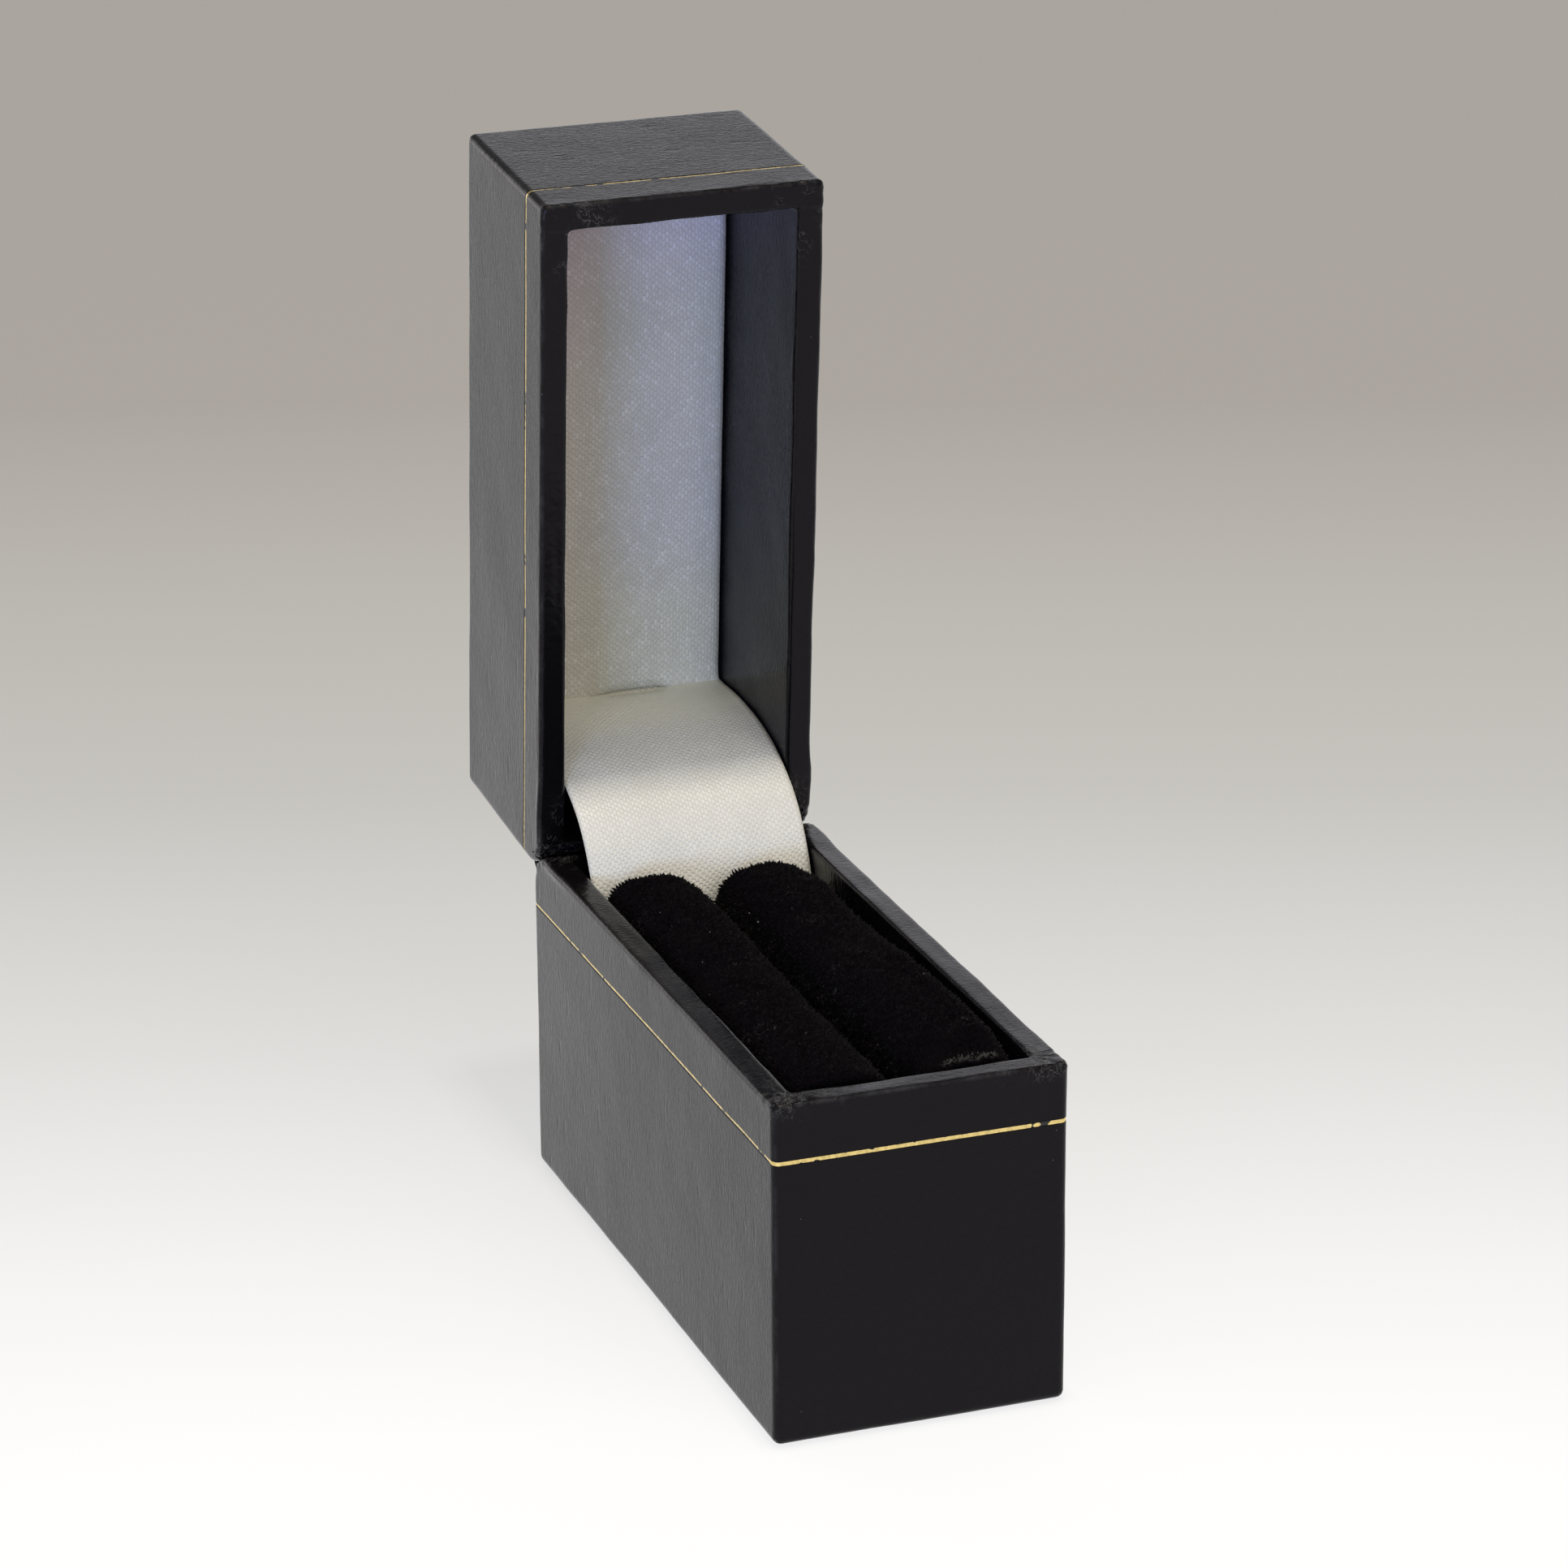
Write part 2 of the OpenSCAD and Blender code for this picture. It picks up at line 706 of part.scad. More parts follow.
strip_path = concat(
    strip_half,
    [for (i = [len(strip_half) - 1:-1:0]) opened([strip_half[i][0], 2 * pin_z - strip_half[i][1]])]
);

module hinge_strip() {
    color("#262427") across(-strip_x, strip_x) polygon(ribbon(strip_path, strip_t));
}

// ---- the pieces --------------------------------------------------------------------------------------

base_bottom_board();
base_front_board();
base_back_board();
base_left_board();
base_right_board();
base_cover();
base_bottom_paper();
base_gilt_line();
pad_riser();
pad_tray();
foam_core_left();
foam_core_right();
velvet_roll_left();
velvet_roll_right();
lid_top_board();
lid_front_board();
lid_back_board();
lid_left_board();
lid_right_board();
lid_cover();
lid_gilt_line();
lining_card();
lining_wadding();
satin_lining();
hinge_base_leaf();
hinge_lid_leaf();
hinge_pin();
hinge_spring();
hinge_base_tacks();
hinge_lid_tacks();
satin_strap();
hinge_strip();
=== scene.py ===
"""Ring display box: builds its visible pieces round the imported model, with a plain stage, lights and camera."""

import contextlib
import functools
import json
import math
import random

import bpy
import numpy as np
from bpy.props import FloatProperty, FloatVectorProperty, PointerProperty
from mathutils import Matrix, Vector, noise


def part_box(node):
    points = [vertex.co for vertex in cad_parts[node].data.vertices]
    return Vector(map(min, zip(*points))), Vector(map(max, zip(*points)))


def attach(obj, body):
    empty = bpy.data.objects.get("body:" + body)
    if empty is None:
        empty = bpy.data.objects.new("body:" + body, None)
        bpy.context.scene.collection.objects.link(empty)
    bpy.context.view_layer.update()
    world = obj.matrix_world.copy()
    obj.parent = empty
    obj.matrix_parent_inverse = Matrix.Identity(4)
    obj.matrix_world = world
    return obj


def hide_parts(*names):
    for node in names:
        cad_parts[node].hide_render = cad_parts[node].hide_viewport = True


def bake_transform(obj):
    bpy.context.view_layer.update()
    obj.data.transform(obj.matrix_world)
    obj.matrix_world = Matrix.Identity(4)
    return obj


bl_info = {
    "name": "Ring Display Box",
    "version": (1, 0, 0),
    "blender": (4, 5, 0),
    "location": "3D View > Sidebar > Ring Box",
    "description": "Builds a slim ring display box: leatherette, gold line, velvet rolls, satin lining and strap",
    "category": "Add Mesh",
}

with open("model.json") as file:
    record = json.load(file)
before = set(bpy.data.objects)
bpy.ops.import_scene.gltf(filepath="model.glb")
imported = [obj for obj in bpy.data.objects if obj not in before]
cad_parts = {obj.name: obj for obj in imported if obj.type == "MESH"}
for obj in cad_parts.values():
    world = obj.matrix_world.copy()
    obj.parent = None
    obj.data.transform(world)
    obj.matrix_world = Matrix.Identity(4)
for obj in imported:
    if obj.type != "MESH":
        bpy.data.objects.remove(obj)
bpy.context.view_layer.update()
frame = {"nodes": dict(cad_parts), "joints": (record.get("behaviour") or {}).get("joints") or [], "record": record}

MM = 0.001
HINGE = frame["joints"][0]
PIN = Vector(HINGE["pos_m"])
LID_OPEN = math.radians(HINGE["range_deg"][1])
# Turns what is drawn on the shut lid to where the open lid holds it
OPENED = Matrix.Translation(PIN) @ Matrix.Rotation(-LID_OPEN, 4, "X") @ Matrix.Translation(-PIN)


def shut_box(node):
    """The lowest and highest corner of one of the lid's nodes, as if the lid were shut."""
    turn_back = OPENED.inverted()
    points = np.array([turn_back @ v.co for v in frame["nodes"][node].data.vertices])
    return Vector(points.min(0)), Vector(points.max(0))


# ---- sizes and colours a user would change --------------------------------------------------------------


def length(name, description, mm):
    return FloatProperty(
        name=name, description=description, default=mm * MM, min=0, unit="LENGTH", subtype="DISTANCE", precision=5
    )


def colour(name, description, value):
    return FloatVectorProperty(
        name=name, description=description, default=value, size=3, min=0, max=1, subtype="COLOR"
    )


class RingBoxSizes(bpy.types.PropertyGroup):
    """Sizes of the two covered bodies"""

    wall: length("Wall", "Thickness of a wall, with the covering on both faces", 2.8)
    cover: length("Covering", "Thickness of the leatherette", 0.25)
    base_turn_in: length("Base turn-in", "Depth of the covering turned down inside the base", 14)
    lid_turn_in: length("Lid turn-in", "Depth of the covering turned in inside the lid", 21.45)
    turn_under: length("Turn-under", "Width of the covering turned under the base", 6)
    edge_radius: length("Upright edge", "Radius of the upright edges", 0.75)
    foot_radius: length("Foot edge", "Radius along the foot of the base and the top of the lid", 0.8)
    heel_radius: length("Heel edge", "Radius at the back of the foot and of the lid's top", 2)
    rim_radius: length("Rim edge", "Radius along the outside of the rims", 0.48)
    mouth_radius: length("Mouth edge", "Radius along the inside of the rims", 0.42)
    roll_over: length("Roll-over", "Radius at the back of both rims", 4)
    line_width: length("Line width", "Width of the gold line", 0.45)
    line_depth: length("Line depth", "Depth of the groove that the line is tooled in", 0.1)
    base_line_drop: length("Base line", "Distance of the gold line below the base's rim", 6)
    lid_line_drop: length("Lid line", "Distance of the gold line from the lid's rim", 5.25)
    waviness: length("Waviness", "How far the covered faces depart from flat", 0.07)


class RingPadSizes(bpy.types.PropertyGroup):
    """Sizes of the two velvet rolls"""

    sink_left: length("Left sink", "How far the left roll lies below the top of the space for it", 0.9)
    sink_right: length("Right sink", "How far the right roll lies below the top of the space for it", 1.35)
    reach_back: length("Reach", "How far the rolls press back towards the strap", 0.6)
    end_radius: length("End radius", "Radius of a roll's rounded ends", 0.7)
    crown: length("Crown", "How much fuller a roll is at its middle than at its ends", 0.25)
    draw_in: length("Draw-in", "How far a roll's flanks draw in at the tray", 0.6)
    velvet: length("Velvet", "Thickness of the velvet with its pile", 1.2)
    pile: length("Pile", "Height of the velvet's pile", 0.42)
    tuft_step: length("Tuft step", "Distance between two tufts of the pile", 0.36)


class SatinSizes(bpy.types.PropertyGroup):
    """Sizes of the satin lining, the strap and the hinge strip"""

    satin: length("Satin", "Thickness of the satin", 0.16)
    lining_edge: length("Lining edge", "Radius of the satin round the edge of its card", 0.35)
    crease_at: length("Crease", "Distance from the lid's back to the crease where the strap starts", 10.3)
    strap_width: length("Strap width", "Width of the strap", 24)
    strap_tail: length("Strap tail", "Length of the strap pasted behind the lining card", 10)
    strip_width: length("Strip width", "Width of the leatherette strip across the hinge", 28)
    strip_hold: length("Strip hold", "Length of the strip pasted on each back wall", 5)
    strip_loose: length("Strip slack", "Length of the strip left loose below each rounded rim", 1.8)
    strip_bulge: length("Strip bulge", "How far the loose strip stands out behind the box", 1)
    strip_tuck: length("Strip tuck", "Distance from the pin to the edge of the fold between the rims", 2.7)


class BoxColours(bpy.types.PropertyGroup):
    """Colours of the box and of its stage"""

    leatherette: colour("Leatherette", "Black grained leatherette", (0.0038, 0.0033, 0.0038))
    scuffed: colour("Scuffed edge", "Leatherette where its edges are rubbed", (0.06, 0.06, 0.062))
    # painted reflected light: the turned-in covering is painted a lighter navy than the same leatherette outside
    inside: colour("Turned-in covering", "Leatherette inside the box", (0.008, 0.008, 0.0132))
    gold: colour("Gold", "Gold foil of the tooled line", (0.86, 0.66, 0.26))
    velvet: colour("Velvet", "Black velvet", (0.0019, 0.0011, 0.0023))
    satin: colour("Satin", "Cream satin", (0.72, 0.7, 0.64))
    board: colour("Board", "Grey-brown board", (0.27, 0.24, 0.18))
    card: colour("Card", "Pulp card", (0.22, 0.2, 0.16))
    foam: colour("Foam", "Open foam", (0.48, 0.47, 0.42))
    wadding: colour("Wadding", "Thin wadding", (0.8, 0.79, 0.75))
    steel: colour("Steel", "Pressed steel", (0.45, 0.45, 0.44))
    spring: colour("Spring steel", "Blued spring steel", (0.25, 0.26, 0.28))
    tack: colour("Tacks", "Brassed tacks", (0.5, 0.37, 0.15))
    floor_near: colour("Floor, near", "Floor round the box", (1, 1, 1))
    floor_mid: colour("Floor, middle", "Floor behind the box", (0.571, 0.558, 0.533))
    floor_far: colour("Floor, far", "Floor well behind the box", (0.413, 0.386, 0.356))


SETTINGS = {
    "ring_box_sizes": RingBoxSizes,
    "ring_box_pad": RingPadSizes,
    "ring_box_satin": SatinSizes,
    "ring_box_colours": BoxColours,
}


def chosen(group):
    """The scene's values of one group of settings: sizes, pad, satin or colours."""
    return getattr(bpy.context.scene, "ring_box_" + group)


# ---- modelling helpers ----------------------------------------------------------------------------------


def activate(piece):
    bpy.ops.object.select_all(action="DESELECT")
    piece.select_set(True)
    bpy.context.view_layer.objects.active = piece


def primitive(add, name, **values):
    """A new primitive, with its place and scale in its mesh."""
    bpy.ops.object.select_all(action="DESELECT")
    add(**values)
    piece = bpy.context.object
    piece.name = piece.data.name = name
    bpy.ops.object.transform_apply(location=True, rotation=True, scale=True)
    return piece


def apply_modifier(piece, kind, **settings):
    activate(piece)
    modifier = piece.modifiers.new(kind.title(), kind)
    for name, value in settings.items():
        setattr(modifier, name, value)
    bpy.ops.object.modifier_apply(modifier=modifier.name)


def thicken(piece, thickness, offset=-1, **settings):
    """Gives a skin its thickness: inwards by default, or half to each side with an offset of 0."""
    apply_modifier(piece, "SOLIDIFY", thickness=thickness, offset=offset, **settings)


@contextlib.contextmanager
def all_selected(piece):
    """Edit mode with the whole mesh selected."""
    activate(piece)
    bpy.ops.object.mode_set(mode="EDIT")
    bpy.ops.mesh.select_all(action="SELECT")
    yield
    bpy.ops.object.mode_set(mode="OBJECT")


@contextlib.contextmanager
def faces_selected(piece, test):
    """Edit mode with the faces selected whose centre and normal pass the test."""
    activate(piece)
    bpy.context.tool_settings.mesh_select_mode = (False, False, True)
    mesh = piece.data
    for part in (mesh.vertices, mesh.edges, mesh.polygons):
        part.foreach_set("select", np.zeros(len(part), bool))
    for face in mesh.polygons:
        face.select = bool(test(face.center, face.normal))
    bpy.ops.object.mode_set(mode="EDIT")
    yield
    bpy.ops.object.mode_set(mode="OBJECT")


def slice_mesh(piece, axis, places):
    """Cuts every face across an axis (0 to 2) at each place, so that the faces can follow small shapes."""
    with all_selected(piece):
        for place in places:
            point, normal = [0, 0, 0], [0, 0, 0]
            point[axis], normal[axis] = place, 1
            bpy.ops.mesh.select_all(action="SELECT")
            bpy.ops.mesh.bisect(plane_co=point, plane_no=normal, threshold=1e-7)


def merge_and_face_out(piece, distance=2e-6):
    with all_selected(piece):
        bpy.ops.mesh.remove_doubles(threshold=distance)
        bpy.ops.mesh.normals_make_consistent(inside=False)


def smooth(piece, angle=None):
    """Shades a piece smooth, or only where its faces meet at less than an angle in degrees."""
    activate(piece)
    if angle is None:
        bpy.ops.object.shade_smooth()
    else:
        bpy.ops.object.shade_smooth_by_angle(angle=math.radians(angle))


def move_in_mesh(piece, matrix):
    """Moves a piece, and puts its new place in its mesh."""
    activate(piece)
    piece.matrix_world = matrix
    bpy.ops.object.transform_apply(location=True, rotation=True, scale=True)


def vertex_values(piece, name):
    values = np.zeros(len(piece.data.vertices) * 3)
    piece.data.vertices.foreach_get(name, values)
    return values.reshape(-1, 3)


def points_of(piece):
    return vertex_values(piece, "co")


def normals_of(piece):
    return vertex_values(piece, "normal")


def set_points(piece, points):
    piece.data.vertices.foreach_set("co", points.astype(np.float32).ravel())
    piece.data.update()


def set_attribute(piece, name, values):
    attribute = piece.data.attributes.new(name, "FLOAT", "POINT")
    attribute.data.foreach_set("value", np.asarray(values, np.float32))


def bumps(points, mm, seed):
    """Smooth noise, about -1 to 1, at each point, with its features about that many millimetres apart."""
    shift = Vector((seed * 17.31, seed * 5.17, seed * 9.73))
    return np.array([noise.noise(Vector(p) / (mm * MM) + shift) for p in points])


def ease(values, low, high):
    """0 below low, 1 above high, and smooth between them."""
    t = np.clip((values - low) / (high - low), 0, 1)
    return t * t * (3 - 2 * t)


def band(values, low, full_from, full_to, high):
    """1 between the two inner limits, and easing to 0 at the outer ones."""
    return ease(values, low, full_from) * (1 - ease(values, full_to, high))


def bell(distance, width):
    """1 at no distance, and falling away on both sides."""
    return np.exp(-((distance / width) ** 2))


def stations(low, high, step, fine, reach_low, reach_high):
    """Places from low to high, a fine step apart near the two ends."""
    places = list(np.arange(low + fine, low + reach_low, fine))
    places += list(np.linspace(low + reach_low, high - reach_high, int((high - low) / step)))
    return places + list(np.arange(high - fine, high - reach_high, -fine))


def dress(piece, body, slot, node, look=None):
    """Gives a piece its finish and the body that it rides on, and hides the node that it stands for."""
    piece.data.materials.clear()
    piece.data.materials.append(finish(look or slot))
    if body:
        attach(piece, body)
    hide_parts(node)


def bezier(a, b, c, d, count):
    """Points on a curve from a to d that sets out towards b and arrives from c."""
    shares = np.linspace(0, 1, count)
    return [
        (1 - t) ** 3 * a + 3 * (1 - t) ** 2 * t * b + 3 * (1 - t) * t * t * c + t**3 * d for t in shares
    ]


def opened(y, z):
    """Where the open lid holds a point in Y and Z of the shut lid."""
    turned = OPENED @ Vector((0, y, z))
    return np.array([turned.y, turned.z])


def path_runs(path):
    """The distance along a path from its start to each of its points."""
    steps = np.linalg.norm(np.diff(path, axis=0), axis=1)
    return np.concatenate([[0], np.cumsum(steps)])


def along(path, places):
    """Points on a path of points, at shares of its length."""
    runs = path_runs(path)
    return np.stack([np.interp(places * runs[-1], runs, values) for values in path.T], 1)


def beside(path, share, window, x, lift):
    """Points at shares of a path in Y and Z, x across it and lifted square to it; window smooths its turns."""
    ahead = along(path, np.clip(share + window, 0, 1)) - along(path, np.clip(share - window, 0, 1))
    ahead /= np.linalg.norm(ahead, axis=1)[:, None]
    places = along(path, share)
    return np.stack([x, places[:, 0] + ahead[:, 1] * lift, places[:, 1] - ahead[:, 0] * lift], 1)


# ---- node groups and materials --------------------------------------------------------------------------


class Value:
    """A node's output. Arithmetic with it adds maths nodes, and [name] is another output of the same node."""

    def __init__(self, graph, socket):
        self.graph, self.socket = graph, socket

    def __getitem__(self, name):
        return Value(self.graph, self.socket.node.outputs[name])

    def __add__(self, other):
        return self.graph.maths("ADD", self, other)

    def __sub__(self, other):
        return self.graph.maths("SUBTRACT", self, other)

    def __rsub__(self, other):
        return self.graph.maths("SUBTRACT", other, self)

    def __mul__(self, other):
        return self.graph.maths("MULTIPLY", self, other)

    def __abs__(self):
        return self.graph.maths("ABSOLUTE", self)

    __radd__, __rmul__ = __add__, __mul__


class Graph:
    """Adds shader nodes to one tree. What goes into a node is a number, a colour or a Value."""

    def __init__(self, tree):
        self.tree = tree

    def put(self, socket, value):
        if isinstance(value, Value):
            self.tree.links.new(value.socket, socket)
        else:
            socket.default_value = value

    def node(self, kind, inputs=None, **settings):
        made = self.tree.nodes.new("ShaderNode" + kind)
        for name, value in settings.items():
            setattr(made, name, value)
        for name, value in (inputs or {}).items():
            self.put(made.inputs[name], value)
        return Value(self, made.outputs[0])

    def maths(self, operation, *values):
        return self.node("Math", dict(enumerate(values)), operation=operation)

    def ramp(self, value, low, high, to_low=0.0, to_high=1.0):
        """A value mapped smoothly from one range to another."""
        inputs = {0: value, 1: low, 2: high, 3: to_low, 4: to_high}
        return self.node("MapRange", inputs, interpolation_type="SMOOTHSTEP")

    def mix(self, share, first, second, blend_type="MIX"):
        """Two colours mixed."""
        first, second = (c if isinstance(c, Value) else (*c, 1) for c in (first, second))
        return self.node("Mix", {0: share, 6: first, 7: second}, data_type="RGBA", blend_type=blend_type)[2]

    def layers(self, base, *layers):
        """A colour with others laid over it, each by its own share."""
        for share, shade in layers:
            base = self.mix(share, base, shade)
        return base

    def noise(self, scale, detail, at=None, **more):
        return self.node("TexNoise", {"Vector": at or self.place, "Scale": scale, "Detail": detail, **more})

    def cell_edges(self, at, scale):
        """The distance to the nearest border between scattered cells."""
        return self.node("TexVoronoi", {"Vector": at, "Scale": scale}, feature="DISTANCE_TO_EDGE")

    def warped(self, scale, detail, reach, middle=0.0):
        """The place, moved about by noise."""
        off = self.noise(scale, detail)["Color"]
        off = self.node("VectorMath", {0: off, 1: (middle,) * 3}, operation="SUBTRACT")
        off = self.node("VectorMath", {0: off, "Scale": reach}, operation="SCALE")
        return self.node("VectorMath", {0: self.place, 1: off}, operation="ADD")

    def parts(self):
        return self.node("SeparateXYZ", {0: self.place})

    def attribute(self, name):
        return self.node("Attribute", attribute_name=name)["Fac"]

    def mirrored(self):
        """1 for what a glossy or a clear surface shows."""
        rays = self.node("LightPath")
        return self.maths("MAXIMUM", rays["Is Glossy Ray"], rays["Is Transmission Ray"])


class Group(Graph):
    """A node group with a Vector, its place, and inputs by name; place[name] gives an input's Value."""

    def __init__(self, name, **inputs):
        super().__init__(bpy.data.node_groups.new(name, "ShaderNodeTree"))
        self.add_socket("Vector", "INPUT", "NodeSocketVector")
        for label, default in inputs.items():
            self.add_socket(label, "INPUT").default_value = default
        self.place = Value(self, self.tree.nodes.new("NodeGroupInput").outputs["Vector"])

    def add_socket(self, label, in_out, kind="NodeSocketFloat"):
        name = label.replace("_", " ")
        return self.tree.interface.new_socket(name=name, in_out=in_out, socket_type=kind)

    def give(self, **values):
        """Makes the group's outputs, and returns the group's tree."""
        for label in values:
            self.add_socket(label, "OUTPUT")
        result = self.tree.nodes.new("NodeGroupOutput").inputs
        for number, value in enumerate(values.values()):
            self.put(result[number], value)
        return self.tree


class Finish(Graph):
    """A node material, with its shader and with its Object coordinates as its place."""

    def __init__(self, name):
        self.material = bpy.data.materials.new(name)
        self.material.use_nodes = True
        super().__init__(self.material.node_tree)
        self.shader = self.tree.nodes["Principled BSDF"]
        self.place = self.node("TexCoord")["Object"]

    def use(self, group, **inputs):
        """Places a group, with underscores for the spaces in its inputs' names."""
        inputs = {label.replace("_", " "): value for label, value in inputs.items()}
        return self.node("Group", {"Vector": self.place, **inputs}, node_tree=group)

    def set(self, **inputs):
        for label, value in inputs.items():
            self.put(self.shader.inputs[label.replace("_", " ")], value)

    def bump(self, height, depth_mm):
        self.set(Normal=self.node("Bump", {"Height": height, "Distance": depth_mm * MM, "Strength": 1.0}))


def toned(shade, by):
    return [c * by for c in shade]


@functools.cache
def grain_group():
    """Fine leather grain: pebbles with pores between them, creases through them, and a few deeper pits."""
    made = Group("Leather grain", Pebbles_per_metre=1600.0)
    scale = made.place["Pebbles per metre"]
    bent = made.warped(900.0, 2.0, 0.0007, 0.5)
    pebbles = made.ramp(made.cell_edges(bent, scale), 0.0, 0.3)
    fine = made.noise(scale, 3.0)
    creases = made.noise(1300.0, 3.0, bent, Roughness=0.6)
    spots = made.node("TexVoronoi", {"Vector": bent, "Scale": 620.0})
    kept = made.node("SeparateColor", {0: spots["Color"]})
    pits = made.ramp(spots["Distance"], 0.34, 0.12) * made.ramp(kept, 0.6, 0.9)
    return made.give(
        Height=0.7 * fine + 0.3 * pebbles + 0.5 * creases - 0.6 * pits,
        Pores=made.maths("MAXIMUM", 1.0 - pebbles, pits),
        Patches=made.ramp(made.noise(75.0, 3.0), 0.35, 0.65),
    )


@functools.cache
def edge_wear_group():
    """Rubbed edges: a mask from how near an edge is, broken up by noise."""
    made = Group("Edge wear", Edge=0.0, Amount=0.5)
    broken = made.ramp(made.noise(260.0, 6.0, Roughness=0.7), 0.42, 0.66)
    near = made.ramp(made.place["Edge"], 0.35, 0.95)
    return made.give(Wear=broken * near * made.place["Amount"])


@functools.cache
def dust_group():
    """Specks of dust and lint, few and small."""
    made = Group("Dust", Specks_per_metre=420.0, Size=0.035)
    place, scale = made.warped(1500.0, 1.0, 0.0006), made.place["Specks per metre"]
    cells = made.node("TexVoronoi", {"Vector": place, "Scale": scale})
    kept = made.node("SeparateColor", {0: cells["Color"]})
    speck = made.maths("LESS_THAN", cells["Distance"], made.place["Size"])
    return made.give(Dust=speck * made.maths("GREATER_THAN", kept, 0.8))


@functools.cache
def weave_group():
    """Satin's fine twill: short floats of thread, each column a step on from the last, with painted glints that
    differ from float to float.
    """
    made = Group("Satin weave", Threads=138.0, Picks=72.0)
    parts, waver = made.parts(), made.noise(14.0, 2.0)
    across = 1.6 * waver + parts["X"] * made.place["Threads"]
    up = 1.2 * waver + parts["Y"] * made.place["Picks"]
    column = made.maths("FLOOR", across)
    step = up + 0.7 * made.noise(90.0, 1.0) - 0.45 * column
    thread, floats = (abs(made.maths("SINE", turn * math.pi)) for turn in (across, step))
    cell = (0.5 * thread + 0.5) * made.ramp(floats, 0.0, 0.9)
    spot = made.node("CombineXYZ", {0: column, 1: made.maths("FLOOR", step)})
    # painted glints: some floats, picked at random, get a painted highlight, given out as Sparkle
    float_glint_draw = made.node("TexWhiteNoise", {"Vector": spot}, noise_dimensions="2D")["Value"]
    painted_glint = made.maths("POWER", float_glint_draw, 1.6) * made.ramp(made.noise(34.0, 3.0), 0.32, 0.66)
    return made.give(Height=cell, Float_share=cell, Sparkle=cell * painted_glint)


@functools.cache
def fibre_group():
    """Short tangled fibres, as in board, card, wadding and foam."""
    made = Group("Fibres", Scale=900.0)
    place, scale = made.warped(350.0, 3.0, 0.002), made.place["Scale"]
    fibres = made.ramp(made.cell_edges(place, scale), 0.0, 0.25)
    flecks = made.noise(scale, 5.0, place)
    return made.give(Height=fibres + flecks, Flecks=made.ramp(flecks, 0.4, 0.62))


def leatherette_finish(colours):
    made = Finish("leatherette")
    # the grain is drawn out along the sides' height and along the lid's front
    drawn = made.node("Mapping", {"Vector": made.place, "Scale": (0.42, 1.35, 0.34)})
    grain = made.use(grain_group(), Vector=drawn, Pebbles_per_metre=2100.0)
    corner = made.attribute("corner")
    wear = made.use(edge_wear_group(), Edge=made.attribute("edge"), Amount=0.5)
    # torn, fibrous scratches where the covering was pleated at a mouth's corner
    torn = made.noise(480.0, 5.0, Roughness=0.6, Distortion=2.2)
    scratches = made.ramp(abs(torn - 0.5), 0.022, 0.004)
    scratches = scratches * corner * made.ramp(made.noise(330.0, 2.0), 0.42, 0.56)
    shade = made.layers(
        colours.leatherette,
        # painted reflected light: what is turned in is painted a lighter navy
        (made.attribute("turned_in"), colours.inside),
        (0.5 * grain["Pores"], (0.0025, 0.0025, 0.003)),
        (wear, colours.scuffed),
        (scratches, (0.1, 0.097, 0.093)),
        (0.22 * made.use(dust_group()), (0.22, 0.22, 0.21)),
    )
    # smoother where it is handled, round the hinge
    parts = made.parts()
    back, up = parts["Y"] - PIN.y, parts["Z"] - PIN.z
    handled = made.ramp(made.maths("SQRT", back * back + up * up), 0.008, 0.04, 0.13, 0.21)
    made.set(
        Base_Color=shade,
        Roughness=handled + 0.06 * grain["Pores"] + 0.02 * grain["Patches"] + 0.2 * wear,
        IOR=1.26,
        Specular_Tint=(0.84, 0.76, 0.81, 1),
    )
    # the lid's top is pitted more deeply
    deeper = made.ramp(parts["Z"], 0.1055, 0.1075, 1.0, 1.7)
    made.bump((grain["Height"] + 0.8 * scratches + 1.1 * (corner * torn)) * deeper, 0.03)
    return made.material


def gold_finish(colours):
    """Gold foil with ragged sides: whole along the front, thinner along the sides, with small breaks."""
    made = Finish("gold_foil")
    flakes = made.noise(2200.0, 5.0, Roughness=0.65)
    stretched = made.ramp(made.noise(95.0, 3.0, Roughness=0.6), 0.6, 0.76, 0.0, 0.75)
    nicked = made.ramp(made.noise(520.0, 2.0), 0.64, 0.69, 0.0, 1.1)
    # the share of the groove that the foil fills, less where it has rubbed off
    fills = 0.92 - 0.5 * made.attribute("thin") - stretched - nicked
    gone = made.ramp(abs(made.attribute("across")) + 0.9 * flakes - 0.45 - fills, -0.08, 0.08)
    tone = made.mix(made.ramp(flakes, 0.35, 0.7), colours.gold, toned(colours.gold, 0.72))
    shade = made.mix(gone, tone, colours.leatherette)
    made.set(Base_Color=shade, Metallic=1.0 - gone, Roughness=0.3 * flakes + 0.2)
    made.bump(flakes, 0.02)
    return made.material


def velvet_finish(colours):
    made = Finish("velvet")
    pile = made.noise(2600.0, 4.0)
    brushed = made.ramp(made.noise(160.0, 3.0), 0.5, 0.75)
    lint = made.use(dust_group(), Specks_per_metre=700.0, Size=0.055)
    # curled hairs, here and there
    curl = made.noise(330.0, 1.0, Distortion=1.6)
    hairs = made.ramp(abs(curl - 0.5), 0.012, 0.002) * made.ramp(made.noise(210.0, 2.0), 0.58, 0.64)
    shade = made.layers(
        toned(colours.velvet, 0.15),
        (made.ramp(pile, 0.35, 0.7), toned(colours.velvet, 1.9)),
        (0.5 * brushed, (0.0035, 0.003, 0.0035)),
        (0.45 * hairs, (0.07, 0.065, 0.07)),
        (made.attribute("raw") * made.ramp(pile, 0.4, 0.55), (0.07, 0.066, 0.065)),
        (0.6 * lint, (0.35, 0.34, 0.34)),
    )
    made.set(Base_Color=shade, Roughness=0.15 * pile + 0.82)
    made.set(Specular_IOR_Level=0.05, Sheen_Weight=0.028, Sheen_Roughness=0.22)
    made.bump(pile, 0.12)
    return made.material


